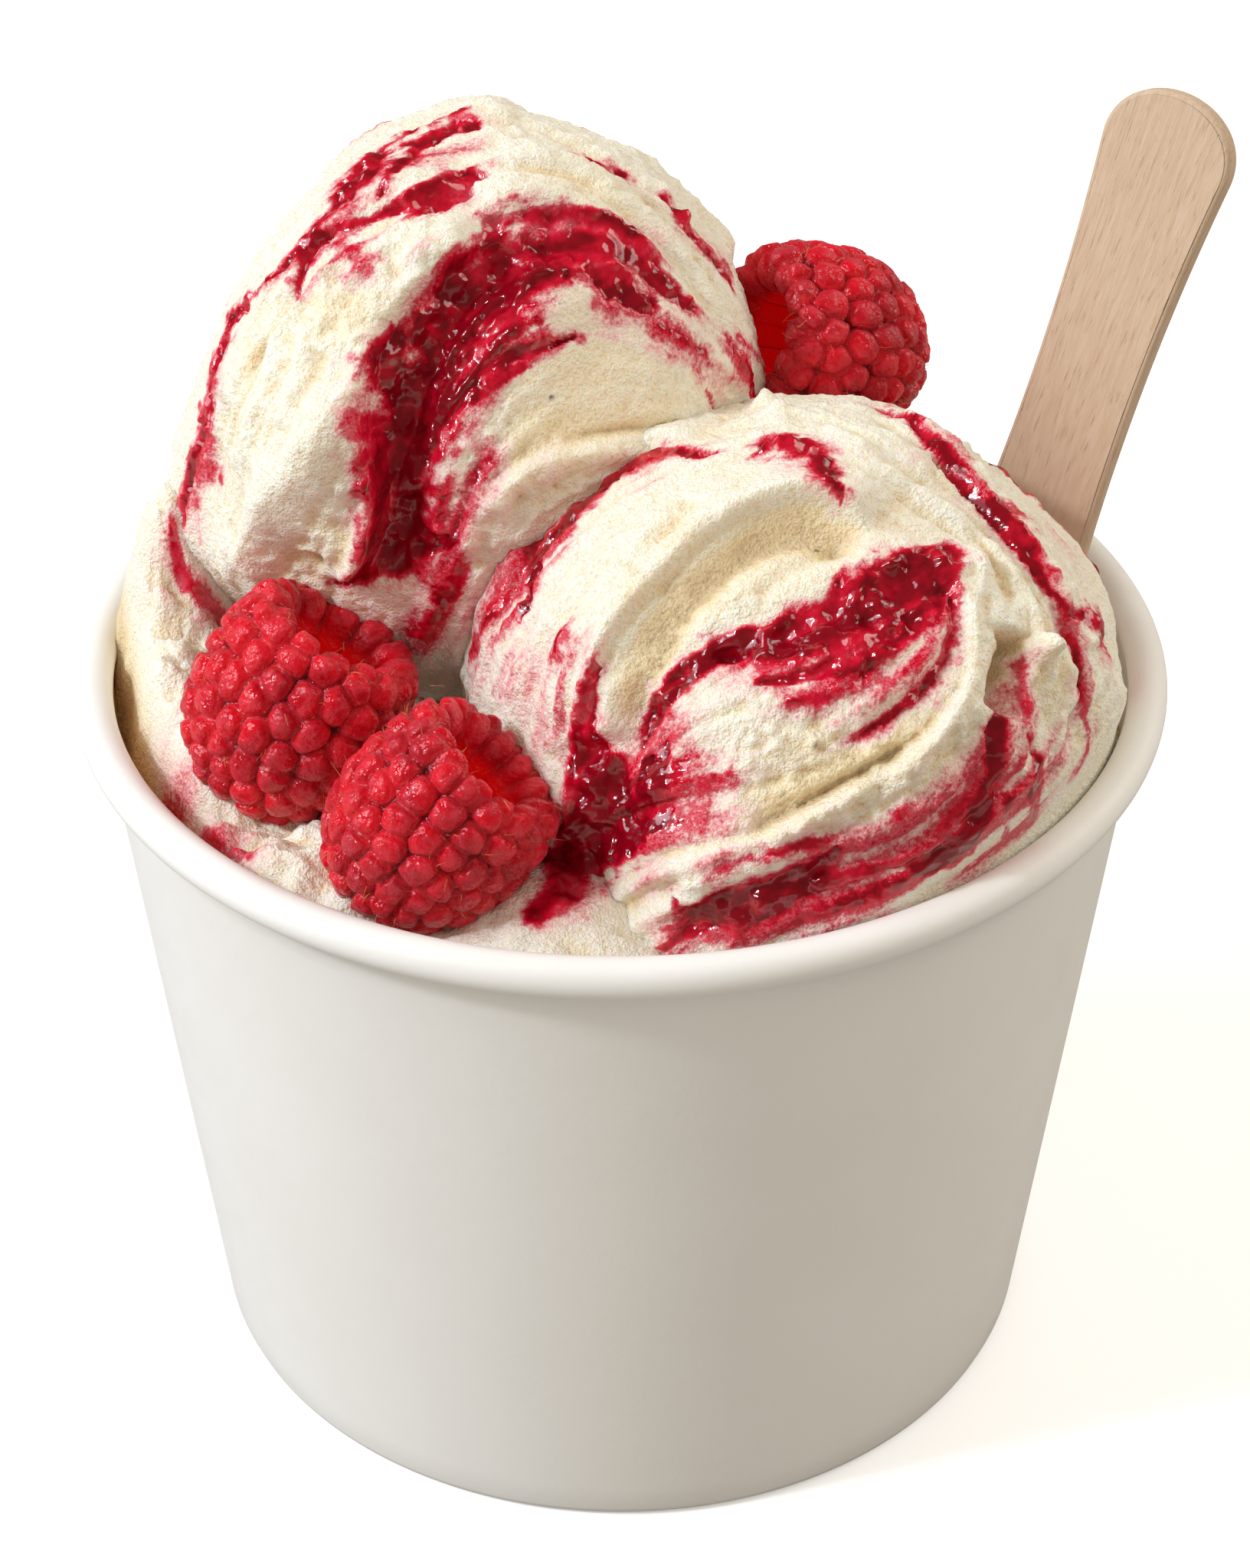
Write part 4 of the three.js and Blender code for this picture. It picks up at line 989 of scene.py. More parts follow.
        ([(28, -6, 0.8), (50, 10, 1.5), (80, 17, 1.2), (108, 14, 0.7)], 0.8, 0.6),
    ],
}

# What both scoops share.
scoopForm = {
    "cells": 124,
    "lean": (-0.02, -0.2, 0.17),
    "lowest": 54,
    "streakSteps": 26,
    "streakStep": 0.33,
    "streakFade": 8,
    # Noise: the size of its lumps in millimetres, and what is added to the scoop's seed.
    "noise": {
        "edge": (0.9, 6), "bays": (2.6, 7), "combing": (1.2, 1), "tufts": (0.7, 2),
        "crumbs": (0.75, 4), "lumps": (1.6, 8), "swell": (6.5, 5),
    },
    # How high each noise stands, in millimetres, on dragged, on crumbly and on wet gelato.
    "combed": {"broad": 0.14, "fray": 0.05, "fine": 0.03},
    "crumbly": {"lumps": 0.03, "crumbs": 0.05, "grain": 0.025},
    "wet": {"lumps": 0.24, "fray": 0.14, "broad": 0.1, "crumbs": 0.1},
    "wetSinks": 0.25,
    "swell": 0.2,
    "clumps": 0.2,
    "pits": 0.45,
    # What makes up the thin stain round the ripple, and the painted shade of the hollows.
    "stain": {"carried": 0.5, "pale": 0.85, "blush": 1.35},
    "hollow": {"close": 0.6, "wide": 0.38, "tan": 1},
    "speck": (0.17, 1.5),  # radius in millimetres and amount
}


def mixOf(parts, amounts):
    return sum(amount * parts[name] for name, amount in amounts.items())


# How far the surface of a scoop lies from its centre, before its finer folds.
def scoopRadius(scoop, ways):
    size = scoop["radius"]
    radius = np.full(len(ways), float(size))
    for angles, spread, rise in scoop["lobes"]:
        angle = np.arccos(np.clip(ways @ direction(angles), -1, 1))
        radius += rise * np.exp(-((angle / math.radians(spread)) ** 2))
    for path, rise, run, _ in scoop["ledges"]:
        signed, along, _ = ledgePlace(ways, path, size)
        radius += rise * ledgeSheet(signed, along, run)
    for path, rise, width in scoop["ridges"]:
        away, _, along = nearPath(ways, unit(curveThrough(direction(path))))
        radius += rise * np.exp(-((away * size / width) ** 2)) * fadeAtEnds(along)
    return radius


# Signed distance to a ledge, positive on its left, and the way to its right.
def ledgePlace(ways, path, size):
    steps = unit(curveThrough(direction(path)))
    away, leg, along = nearPath(ways, steps)
    left = unit(np.cross(steps[:-1], steps[1:]))[leg]
    side = np.where((ways * left).sum(1) >= 0, 1, -1)
    return away * size * side, along, -left


# A sheet steep at the ledge, which thins out over its run.
def ledgeSheet(signed, along, run):
    return smoothStep(-0.8, 0.8, signed) * np.exp(-np.maximum(0, signed) / run) * fadeAtEnds(along)


# Where the photograph's points fall on a scoop, as directions.
def castOnScoop(scoop, pixels):
    rays = raysThrough(pixels)
    start = lensAt - np.array(scoop["centre"])
    reach = np.full(len(rays), float(scoop["radius"]))
    for _ in range(7):
        toward = rays @ start
        inside = np.maximum(toward**2 - (start @ start - reach**2), 0)
        ways = unit(start + rays * (-toward - np.sqrt(inside))[:, None])
        reach = 0.4 * reach + 0.6 * scoopRadius(scoop, ways)
    return ways


# The same for several lines together. Only x and y of each point are read.
def castLines(scoop, lines):
    ways = castOnScoop(scoop, [point[:2] for line in lines for point in line])
    ends = np.cumsum([len(line) for line in lines])
    return np.split(ways, ends[:-1])


# A ball of even facets, made from a cube: its directions, its quads, and the point at each place on each side.
def makeBall():
    cells = scoopForm["cells"]
    edge = np.arange(cells + 1)
    a, b = np.meshgrid(edge, edge, indexing="ij")
    sides = []
    for axis in range(3):
        for end in (0, cells):
            spot = np.zeros((cells + 1, cells + 1, 3), int)
            spot[..., axis] = end
            spot[..., (axis + 1) % 3] = a if end else b
            spot[..., (axis + 2) % 3] = b if end else a
            sides.append(spot)
    every = np.stack(sides).reshape(-1, 3)
    spots, number = np.unique(every, axis=0, return_inverse=True)
    table = number.reshape(6, cells + 1, cells + 1)
    corners = (table[:, :-1, :-1], table[:, 1:, :-1], table[:, 1:, 1:], table[:, :-1, 1:])
    ways = unit(np.tan((spots / cells * 2 - 1) * math.pi / 4))
    return unit(ways + np.array(scoopForm["lean"])), np.stack(corners, -1).reshape(-1, 4), table


ballWays, ballQuads, ballTable = makeBall()
# Two level ways at each point of the ball, square to it and to each other.
ballAcross = unit(np.cross(ballWays, np.array([0.3, 0.8, 0.52])))
ballUp = np.cross(ballWays, ballAcross)


# The point of the ball nearest to each direction.
def ballPoint(ways):
    cells = scoopForm["cells"]
    lean = np.array(scoopForm["lean"])
    dot = ways @ lean
    flat = ways * (dot + np.sqrt(np.maximum(0, dot**2 + 1 - lean @ lean)))[:, None] - lean
    axis = np.abs(flat).argmax(1)
    rows = np.arange(len(flat))
    ahead = flat[rows, axis]
    places = []
    for turn in (1, 2):
        place = np.arctan(flat[rows, (axis + turn) % 3] / np.abs(ahead)) * 4 / math.pi
        places.append(np.clip(np.rint((place + 1) / 2 * cells), 0, cells).astype(int))
    first, second = places
    far = ahead > 0
    return ballTable[axis * 2 + far, np.where(far, first, second), np.where(far, second, first)]


# Mean of what lies in a ring round each point of the ball.
def ringMean(values, distance, stops=10):
    total = np.zeros(len(ballWays))
    for angle in np.arange(stops) * math.pi / (stops / 2):
        around = math.cos(angle) * ballAcross + math.sin(angle) * ballUp
        total += values[ballPoint(unit(ballWays + distance * around))]
    return total / stops


# The way in which the gelato was dragged at each direction, blended from the drag lines.
def dragFlow(scoop):
    paths = [unit(curveThrough(line, 3)) for line in castLines(scoop, scoop["drags"])]
    paths += [unit(curveThrough(direction(line), 3)) for line in scoop["unseenDrags"]]
    count = len(ballWays)
    xx, xy, yy = np.full(count, 1e-9), np.zeros(count), np.zeros(count)
    for steps in paths:
        away, leg, _ = nearPath(ballWays, steps)
        along = unit(np.diff(steps, axis=0))[leg]
        weight = 1 / ((away * scoop["radius"]) ** 2 + 1.5) ** 1.5
        x, y = (along * ballAcross).sum(1), (along * ballUp).sum(1)
        xx += weight * x * x
        xy += weight * x * y
        yy += weight * y * y
    angle = 0.5 * np.arctan2(2 * xy, xx - yy)
    return np.cos(angle)[:, None] * ballAcross + np.sin(angle)[:, None] * ballUp


# Noise smeared along the drag lines, which leaves streaks, and ripple carried along the same lines.
def streaks(scoop, flow, noises, ripple):
    step = scoopForm["streakStep"] / scoop["radius"]
    total = [noise.copy() for noise in noises]
    carried, weight = ripple.copy(), 1.0
    for sign in (1, -1):
        here, heading = ballWays.copy(), flow * sign
        for k in range(scoopForm["streakSteps"]):
            here = unit(here + heading * step)
            spot = ballPoint(here)
            onward = flow[spot]
            heading = onward * np.sign((onward * heading).sum(1) + 1e-9)[:, None]
            for one, noise in zip(total, noises):
                one += noise[spot]
            fade = math.exp(-k / scoopForm["streakFade"])
            carried += fade * ripple[spot]
            weight += fade
    return [one / one.std() for one in total], carried / weight


# A stroke of ripple: its steps, the half width at each, its amount and how much it frays.
def makeStroke(steps, line, amount, fraying, scale=1):
    here, given = np.linspace(0, 1, len(steps)), np.linspace(0, 1, len(line))
    return steps, np.interp(here, given, [point[2] for point in line]) / scale, amount, fraying


# Ripple amount from strokes and the pale stain beside it, with edges shifted by `frayBy`.
def rippleAmount(places, strokes, frayBy, scale):
    kept = np.ones(len(places))
    pale = np.ones(len(places))
    for steps, widths, amount, fray in strokes:
        reach = (widths.max() * 2.5 + 3) / scale
        away, _, along = nearPath(places, steps, reach)
        width = np.interp(along, np.linspace(0, 1, len(widths)), widths)
        inside = away * scale / np.maximum(width, 0.12) + frayBy * fray * 0.5
        kept *= 1 - np.minimum(amount, 1) * smoothStep(1.35, 0.66, inside)
        beyond = (away * scale - width) / (0.5 + 0.9 * fray + 0.3 * width) + 0.5 * frayBy
        pale *= 1 - 0.42 * min(amount, 1) * smoothStep(1, 0, beyond)
    return 1 - kept, 1 - pale


# Soft round spots, each with a place, a radius in millimetres and an amount.
def spotAmount(places, spots, scale):
    total = np.zeros(len(places))
    for spot, wide, amount in spots:
        away = np.linalg.norm(places - spot, axis=1) * scale
        total += amount * np.exp(-((away / wide) ** 2))
    return total


# The same spots, where points of the photograph have been cast to places on a surface.
def castSpots(places, spots):
    return [(place, wide / pixelsPerMm, amount) for place, (_, _, wide, amount) in zip(places, spots)]


def spotsOnScoop(scoop, key):
    ways = castOnScoop(scoop, [spot[:2] for spot in scoop[key]])
    return spotAmount(ballWays, castSpots(ways, scoop[key]), scoop["radius"])


# The scoop stays inside the paper wall and the rolled rim.
def keepInCup(points, soft=0.8, clear=0.12):
    out = np.hypot(points[:, 0], points[:, 1])
    limit = roomRadius(points[:, 2]) - clear
    over = out - (limit - soft)
    held = np.where(over > 0, limit - soft * np.exp(-np.maximum(over, 0) / soft), out)
    points[:, :2] *= (held / np.maximum(out, 1e-9))[:, None]
    return points


def strokesOnScoop(scoop):
    strokes = []
    lines = castLines(scoop, [line for line, _, _ in scoop["ripple"]])
    for ways, (line, amount, fraying) in zip(lines, scoop["ripple"]):
        strokes.append(makeStroke(unit(curveThrough(ways, 3)), line, amount, fraying, pixelsPerMm))
    for line, amount, fraying in scoop["unseenRipple"]:
        ways = direction([point[:2] for point in line])
        strokes.append(makeStroke(unit(curveThrough(ways)), line, amount, fraying))
    return strokes


# Ripple: strokes, what the scoop's drag carries out of them, and a blush round about. The streaks join the noise.
def rippleOnScoop(scoop, noise, seed):
    size = scoop["radius"]
    edge = 0.6 * noise["edge"] + 0.5 * noise["bays"]
    core, pale = rippleAmount(ballWays, strokesOnScoop(scoop), edge, size)
    # Frost and painted highlight pale the ripple at the listed spots.
    frostAndHighlight = spotsOnScoop(scoop, "frostAndHighlight") * np.clip(1 + 0.5 * edge, 0, 1.6)
    core *= 1 - np.clip(frostAndHighlight, 0, 0.85)
    dust = np.random.default_rng(seed).standard_normal(len(ballWays))
    smeared, carried = streaks(scoop, dragFlow(scoop), [dust, noise["combing"], noise["tufts"]], core)
    noise["fine"], noise["broad"], noise["fray"] = smeared
    blush = spotsOnScoop(scoop, "blush")
    blush += spotAmount(ballWays, [(direction(at), wide, amount) for at, wide, amount in scoop["unseenBlush"]], size)
    thin = np.clip(mixOf({"carried": carried, "pale": pale, "blush": blush}, scoopForm["stain"]), 0, 0.62)
    thin *= np.clip(0.85 + 0.36 * noise["fray"] + 0.16 * noise["fine"], 0.05, 1.6)
    full = core * np.clip(0.97 + 0.06 * noise["fray"], 0, 1)
    return core, 1 - (1 - full) * (1 - np.clip(thin, 0, 0.6))


# Folds and nubs that the photograph shows, as rises in millimetres.
def foldsOnScoop(scoop):
    size = scoop["radius"]
    rises = spotsOnScoop(scoop, "nubs")
    for line, (_, rise, width) in zip(castLines(scoop, [fold[0] for fold in scoop["folds"]]), scoop["folds"]):
        away, _, along = nearPath(ballWays, unit(curveThrough(line, 3)), 4 * width / size)
        rises += rise * np.exp(-((away * size / width) ** 2)) * fadeAtEnds(along)
    return rises


# Drag lines, crumbs, clumps and pits, and the low wet relief of the sauce.
def reliefOnScoop(scoop, noise, wet):
    rough = spotsOnScoop(scoop, "texture")
    combed = 1 + np.clip(spotsOnScoop(scoop, "combed"), -0.8, 2)
    crumbly = 1 + np.clip(rough, -0.85, 1.6)
    rough = np.clip(rough, 0, 1.5)
    clumps = np.clip(noise["crumbs"] + 0.5 * noise["lumps"] - 0.8, 0, 1.5) * rough
    pits = np.clip(-noise["lumps"] - 0.4 * noise["broad"] - 1.0, 0, 1.5) * rough
    rises = combed * mixOf(noise, scoopForm["combed"]) + crumbly * mixOf(noise, scoopForm["crumbly"])
    rises += scoopForm["clumps"] * clumps - scoopForm["pits"] * pits
    return (1 - 0.85 * wet) * rises + wet * (mixOf(noise, scoopForm["wet"]) - scoopForm["wetSinks"])


def makeScoop(name, scoop, seed):
    size = scoop["radius"]
    noise = {key: lumpsAt(ballWays * size, wide, seed + step) for key, (wide, step) in scoopForm["noise"].items()}
    noise["grain"] = np.random.default_rng(seed + 3).standard_normal(len(ballWays))
    core, ripple = rippleOnScoop(scoop, noise, seed)
    smooth = scoopRadius(scoop, ballWays) + scoopForm["swell"] * noise["swell"] + foldsOnScoop(scoop)
    radius = smooth + reliefOnScoop(scoop, noise, smoothStep(0.5, 0.8, core))

    points = np.array(scoop["centre"]) + ballWays * radius[:, None]
    for path, rise, _, lip in scoop["ledges"]:
        signed, along, right = ledgePlace(ballWays, path, size)
        points += right * (lip * np.sign(rise) * ledgeSheet(signed, along, 2.5))[:, None]
    points = keepInCup(points)
    points[:, 2] = np.maximum(points[:, 2], scoopForm["lowest"])

    # Painted shade: near and broad dips in the surface, and the listed tan spots, darken the gelato's colour.
    shadeDips = {
        "close": np.clip((ringMean(radius, 0.9 / size) - radius) * 1.5, 0, 1),
        "wide": np.clip((ringMean(smooth, 3.2 / size) - smooth) * 0.8, 0, 1),
        "tan": spotsOnScoop(scoop, "tan"),
    }
    hollow = np.clip(mixOf(shadeDips, scoopForm["hollow"]), 0, 1)
    specks = [(way, *scoopForm["speck"]) for way in castOnScoop(scoop, scoop["specks"])]
    speck = np.clip(spotAmount(ballWays, specks, size), 0, 1)
    values = {"ripple": ripple, "hollow": hollow, "streak": noise["fray"], "speck": speck}
    meshPiece(name, points, ballQuads.tolist(), gelato, name.replace("_gelato", ""), values)


makeScoop("scoop_back_gelato", backScoop, 11)
print("back scoop made")
makeScoop("scoop_front_gelato", frontScoop, 47)
print("front scoop made")


fill = {
    "level": 62.5,
    "wave": 0.7,
    "rings": 150,
    "sides": 460,
    "seed": 70,
    # The size of each noise's lumps, and how high they stand.
    "noise": {"grain": 0.5, "crumbs": 1.0, "lumps": 2.2, "swell": 7},
    "relief": {"lumps": 0.16, "crumbs": 0.1, "grain": 0.05},
    "swell": 0.3,
    # Degrees round the cup where the surface is rougher, and where it dips more at the wall.
    "roughBy": 1.6,
    "roughRound": (150, 170, 230, 260),
    "dipBy": 9,
    "dipRound": (176, 188, 206, 222),
    # x, y, spread, rise
    "mounds": [
        (19, 21, 11, 9), (-27, -29, 9, 5), (-33, -17, 6, 5), (-4, -33, 12, 4), (-38.3, 3, 6.4, 19.5),
        (-40, -9, 7, 9), (-40, 13, 7, -3), (6, 38, 9, -4), (36, 24, 7, -4),
    ],
    "ripple": [
        ([(560, 850, 14), (600, 900, 12), (590, 830, 12)], 0.5, 0.8),
        ([(700, 1200, 14), (740, 1160, 20), (720, 1120, 20)], 0.9, 0.5),
        ([(262, 1085, 10), (300, 1100, 10), (330, 1110, 8)], 0.4, 0.8),
        ([(226, 695, 4), (229, 715, 6), (238, 740, 5), (252, 765, 5), (272, 790, 6), (296, 820, 5)], 0.75, 0.7),
        ([(205, 1000, 8), (225, 1040, 9)], 0.3, 0.9),
    ],
    "blush": [
        (230, 1050, 40, 0.35), (290, 1095, 40, 0.3), (340, 1110, 30, 0.2), (235, 770, 26, 0.3),
        (275, 812, 24, 0.3), (205, 730, 20, 0.12), (215, 950, 40, 0.1), (590, 870, 60, 0.35),
        (740, 1170, 50, 0.4), (620, 1210, 40, 0.1),
    ],
    "unseenRipple": [
        ([(0, 30, 0.6), (12, 34, 1.4), (24, 33, 0.8)], 0.8, 0.7),
        ([(-32, 22, 0.6), (-27, 29, 1.3), (-18, 34, 0.7)], 0.7, 0.7),
    ],
}


def fillTop(x, y):
    z = fill["level"] + fill["wave"] * np.sin(x / 4.3) * np.cos(y / 3.7)
    for moundX, moundY, spread, rise in fill["mounds"]:
        z = z + rise * np.exp(-(((x - moundX) ** 2 + (y - moundY) ** 2) / spread**2))
    return z


# Where the photograph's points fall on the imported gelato.
def castOnFill(pixels):
    rays = raysThrough(pixels)
    found = np.zeros((len(rays), 3))
    free = np.ones(len(rays), bool)
    for height in np.arange(92, 50, -0.2):
        there = lensAt + rays * ((height - lensAt[2]) / rays[:, 2])[:, None]
        hit = free & (fillTop(there[:, 0], there[:, 1]) >= height)
        found[hit] = there[hit]
        free &= ~hit
    return found * (1, 1, 0)


def strokesOnFill():
    strokes = []
    for line, amount, fraying in fill["ripple"]:
        steps = curveThrough(castOnFill([point[:2] for point in line]), 3)
        strokes.append(makeStroke(steps, line, amount, fraying, pixelsPerMm))
    for line, amount, fraying in fill["unseenRipple"]:
        steps = curveThrough([(x, y, 0) for x, y, _ in line], 3)
        strokes.append(makeStroke(steps, line, amount, fraying))
    return strokes


def makeFill():
    rings, sides = fill["rings"], fill["sides"]
    share = np.linspace(1, 0, rings, endpoint=False)[::-1]
    turn = np.arange(sides) / sides * 2 * math.pi
    edge = roomRadius(np.array(fill["level"])) + 0.1
    x = (edge * share[:, None] * np.cos(turn)).ravel()
    y = (edge * share[:, None] * np.sin(turn)).ravel()
    z = fillTop(x, y)
    spots = np.stack([x, y, z], 1)
    noise = {key: lumpsAt(spots, wide, fill["seed"] + i) for i, (key, wide) in enumerate(fill["noise"].items())}
    lumps, crumbs, swell = noise["lumps"], noise["crumbs"], noise["swell"]

    # The surface is roughest at the left, and it dips along the wall, deepest where the wall's inside shows.
    around = np.degrees(np.arctan2(y, x)) % 360
    rough = 1 + fill["roughBy"] * between(around, *fill["roughRound"])
    z = z + rough * (fill["swell"] * swell + mixOf(noise, fill["relief"]))
    gap = np.hypot(x, y) - edge
    deep = between(around, *fill["dipRound"])
    z = z - (2.2 + 0.5 * swell + fill["dipBy"] * deep) * smoothStep(-3.2 - 2.3 * deep, 0, gap) ** 1.5
    held = np.minimum(1, (roomRadius(z) + 0.1) / np.maximum(np.hypot(x, y), 1))
    x, y = x * held, y * held

    flat = np.stack([x, y, np.zeros(len(x))], 1)
    core, pale = rippleAmount(flat, strokesOnFill(), 0.5 * lumps + 0.5 * crumbs, 1)
    places = castOnFill([spot[:2] for spot in fill["blush"]])
    thin = (spotAmount(flat, castSpots(places, fill["blush"]), 1) + pale) * (0.8 + 0.3 * lumps + 0.3 * crumbs)
    ripple = 1 - (1 - core) * (1 - np.clip(thin, 0, 0.6))
    # Painted shade: a tan in the fill's dips, and strongest along the wall where the surface falls away.
    hollow = 0.4 * np.clip(-0.25 * lumps - 0.25 * crumbs - 0.2 * swell, 0, 1)
    hollow += 0.9 * smoothStep(-1.6 - 2.4 * deep, -0.1, gap)

    # Under its surface the fill follows the wall down to the base.
    floor = cup["baseHeight"] + cup["paper"] + 0.1
    sideways = []
    for height in (fill["level"] - 3, 40, floor):
        radius = float(roomRadius(np.array(height))) - 0.05
        sideways.append(np.stack([radius * np.cos(turn), radius * np.sin(turn), np.full(sides, height)], 1))
    points = np.vstack([np.stack([x, y, z], 1), *sideways, [(0, 0, fillTop(0, 0)), (0, 0, floor)]])
    rows = rings + len(sideways)
    faces = ringFaces(rows, sides)[:, ::-1].tolist()
    top, bottom, last = rows * sides, rows * sides + 1, (rows - 1) * sides
    for i in range(sides):
        after = (i + 1) % sides
        faces += [[top, after, i], [bottom, last + i, last + after]]
    hidden = np.zeros(len(points) - len(ripple))
    values = {"ripple": ripple, "hollow": hollow, "streak": lumps}
    values = {key: np.append(numbers, hidden) for key, numbers in values.items()}
    meshPiece("packed_gelato", points, faces, gelato, "gelato_fill", values)


makeFill()
print("packed gelato made")


berryForm = {
    "radius": 8.8,
    "tipLength": 10.4,
    "mouthLength": 7.9,
    "lipRadius": 6.7,
    "hollowRadius": 4.6,
    "lipDepth": 2.1,
    "hollowDepth": 10.5,
    "pitch": 2.9,
    "bead": 1.9,  # how far a drupelet stands out
    "sunk": 1.35,  # how far the creases lie under the solid's outline
    "cap": 0.86,  # radius of a drupelet's rounded cap, as a share of the pitch
    "crestBack": 2.0,  # from the lip back to the last ring
    # How far chance moves a drupelet along, in the rings and in the last one, and round, as shares of its room.
    "shift": 0.5,
    "lastShift": 0.2,
    "shiftRound": 0.32,
    # How long a drupelet is and how proud it stands: the least, and what chance adds. The last ring's are all long.
    "long": (1.1, 0.2),
    "lastLong": 2.1,
    "stands": (0.9, 0.2),
    "crease": 0.34,
    "wrinkle": (0.04, 0.5),  # rise and size
    "wave": 0.22,
    "flute": 0.92,
    "rows": 200,
    "columns": 240,
    "arcSteps": 200,
}

hairForm = {
    "tries": 2,  # at each drupelet
    "share": 0.55,
    "from": 1.55,  # millimetres from the drupelet's middle
    "sunk": 0.1,
    "lean": 1.1,
    "curl": 0.6,
    "length": (0.55, 0.75),  # the shortest, and what chance adds
    "thickness": 0.04,
    "taper": 0.7,
    "joints": 4,
    "corners": (0, 2.09, 4.19),
}

# Centre, axis, size and turn of each.
berries = {
    "raspberry_left": ((-26.8, -16.4, 72.6), (0.526, 0.167, 0.835), 0.97, 0.2),
    "raspberry_front": ((-14.8, -31.4, 71.6), (0.677, 0.091, 0.727), 0.91, 1.1),
    "raspberry_back": ((17.8, 18.5, 87.7), (-0.83, -0.4, 0.38), 0.93, 0.6),
}


# Outline from the tip, over the lip and down the hollow, as radius and height. The last arc begins at the lip's foot.
def berryOutline():
    form = berryForm
    lipFoot = form["mouthLength"] - form["lipDepth"]
    shoulder = form["radius"] - form["lipRadius"]
    lipWidth = form["lipRadius"] - form["hollowRadius"]
    arcs = [
        (0, 0, form["radius"], form["tipLength"], -90, 0),
        (form["lipRadius"], 0, shoulder, form["mouthLength"], 0, 90),
        (form["lipRadius"], lipFoot, lipWidth, form["lipDepth"], 90, 180),
        (0, lipFoot, form["hollowRadius"], -form["hollowDepth"], 0, 90),
    ]
    fine = []
    for x, z, wide, high, start, end in arcs:
        angle = np.radians(np.linspace(start, end, form["arcSteps"]))
        fine.append(np.stack([x + wide * np.cos(angle), z + high * np.sin(angle)], 1))
    fine = np.vstack(fine)
    run = np.append(0, np.cumsum(np.linalg.norm(np.diff(fine, axis=0), axis=1)))
    even = np.linspace(0, run[-1], form["rows"])
    outline = np.stack([np.interp(even, run, fine[:, 0]), np.interp(even, run, fine[:, 1])], 1)
    outline[:, 0] = np.maximum(outline[:, 0], 0)
    return outline, even, run[(len(arcs) - 1) * form["arcSteps"]]


# Drupelets stand in rings, each half a drupelet round from the last. The last ring folds over the lip.
def placeDrupelets(outline, run, along, lipAt, chance):
    form = berryForm
    pitch = form["pitch"]
    crest = lipAt - form["crestBack"]
    rings = int(round(crest / pitch))
    drupelets, lastAngles = [], []
    for ring in range(rings + 1):
        at = ring * crest / rings
        last = ring == rings
        radius = np.interp(at, run, outline[:, 0])
        count = max(1, int(round(2 * math.pi * radius / pitch)))
        for i in range(count):
            place = at + (chance.random() - 0.5) * pitch * form["lastShift" if last else "shift"]
            angle = (i + 0.5 * (ring % 2) + (chance.random() - 0.5) * form["shiftRound"]) / count * 2 * math.pi
            cos, sin = math.cos(angle), math.sin(angle)
            r, z = np.interp(place, run, outline[:, 0]), np.interp(place, run, outline[:, 1])
            tangent = np.interp(place, run, along[:, 0]), np.interp(place, run, along[:, 1])
            up = unit(np.array([tangent[0] * cos, tangent[0] * sin, tangent[1]]))
            long = form["lastLong"] if last else form["long"][0] + form["long"][1] * chance.random()
            if last:
                lastAngles.append(angle)
            stands = form["stands"][0] + form["stands"][1] * chance.random()
            drupelets.append((np.array([r * cos, r * sin, z]), up, np.array([-sin, cos, 0]), long, stands))
    return drupelets, np.sort(np.array(lastAngles) % (2 * math.pi))


# Each point belongs to its nearest drupelet, a rounded cap that meets its neighbours in a crease.
def crownsOf(base, drupelets):
    pitch = berryForm["pitch"]
    nearest, second, proud = np.full(len(base), farOff), np.full(len(base), farOff), np.ones(len(base))
    for centre, up, side, long, stands in drupelets:
        away = base - centre
        off = np.sqrt((away @ up / long) ** 2 + (away @ side) ** 2 + 0.3 * (away @ np.cross(up, side)) ** 2)
        second = np.where(off < nearest, nearest, np.minimum(second, off))
        proud = np.where(off < nearest, stands, proud)
        nearest = np.minimum(nearest, off)
    cap = np.sqrt(np.clip(1 - (nearest / (berryForm["cap"] * pitch)) ** 2, 0, 1))
    crease = smoothStep(0.3, 0, (second - nearest) / pitch)
    return np.clip(cap * (0.8 + 0.2 * proud) - berryForm["crease"] * crease, 0, 1)


# A short withered hair stands in many of the creases.
def makeHairs(drupelets, chance):
    form = hairForm
    joints, corners = form["joints"], form["corners"]
    points, faces = [], []
    for centre, up, side, long, _ in drupelets:
        for _ in range(form["tries"]):
            if chance.random() > form["share"]:
                continue
            outward = np.cross(side, up)
            turn = 2 * math.pi * chance.random()
            root = centre + form["from"] * (math.cos(turn) * up * long + math.sin(turn) * side)
            root = root - outward * form["sunk"]
            lean = unit(outward + form["lean"] * (chance.random(3) - 0.5))
            curl = unit(chance.random(3) - 0.5)
            length = form["length"][0] + form["length"][1] * chance.random()
            start = len(points)
            a = unit(np.cross(lean, curl))
            b = np.cross(lean, a)
            for k in range(joints + 1):
                share = k / joints
                middle = root + lean * length * share + curl * form["curl"] * share**2 * length
                thick = form["thickness"] * (1 - form["taper"] * share)
                points += [middle + thick * (math.cos(angle) * a + math.sin(angle) * b) for angle in corners]
            faces += (ringFaces(joints + 1, len(corners)) + start).tolist()
    return np.array(points), faces


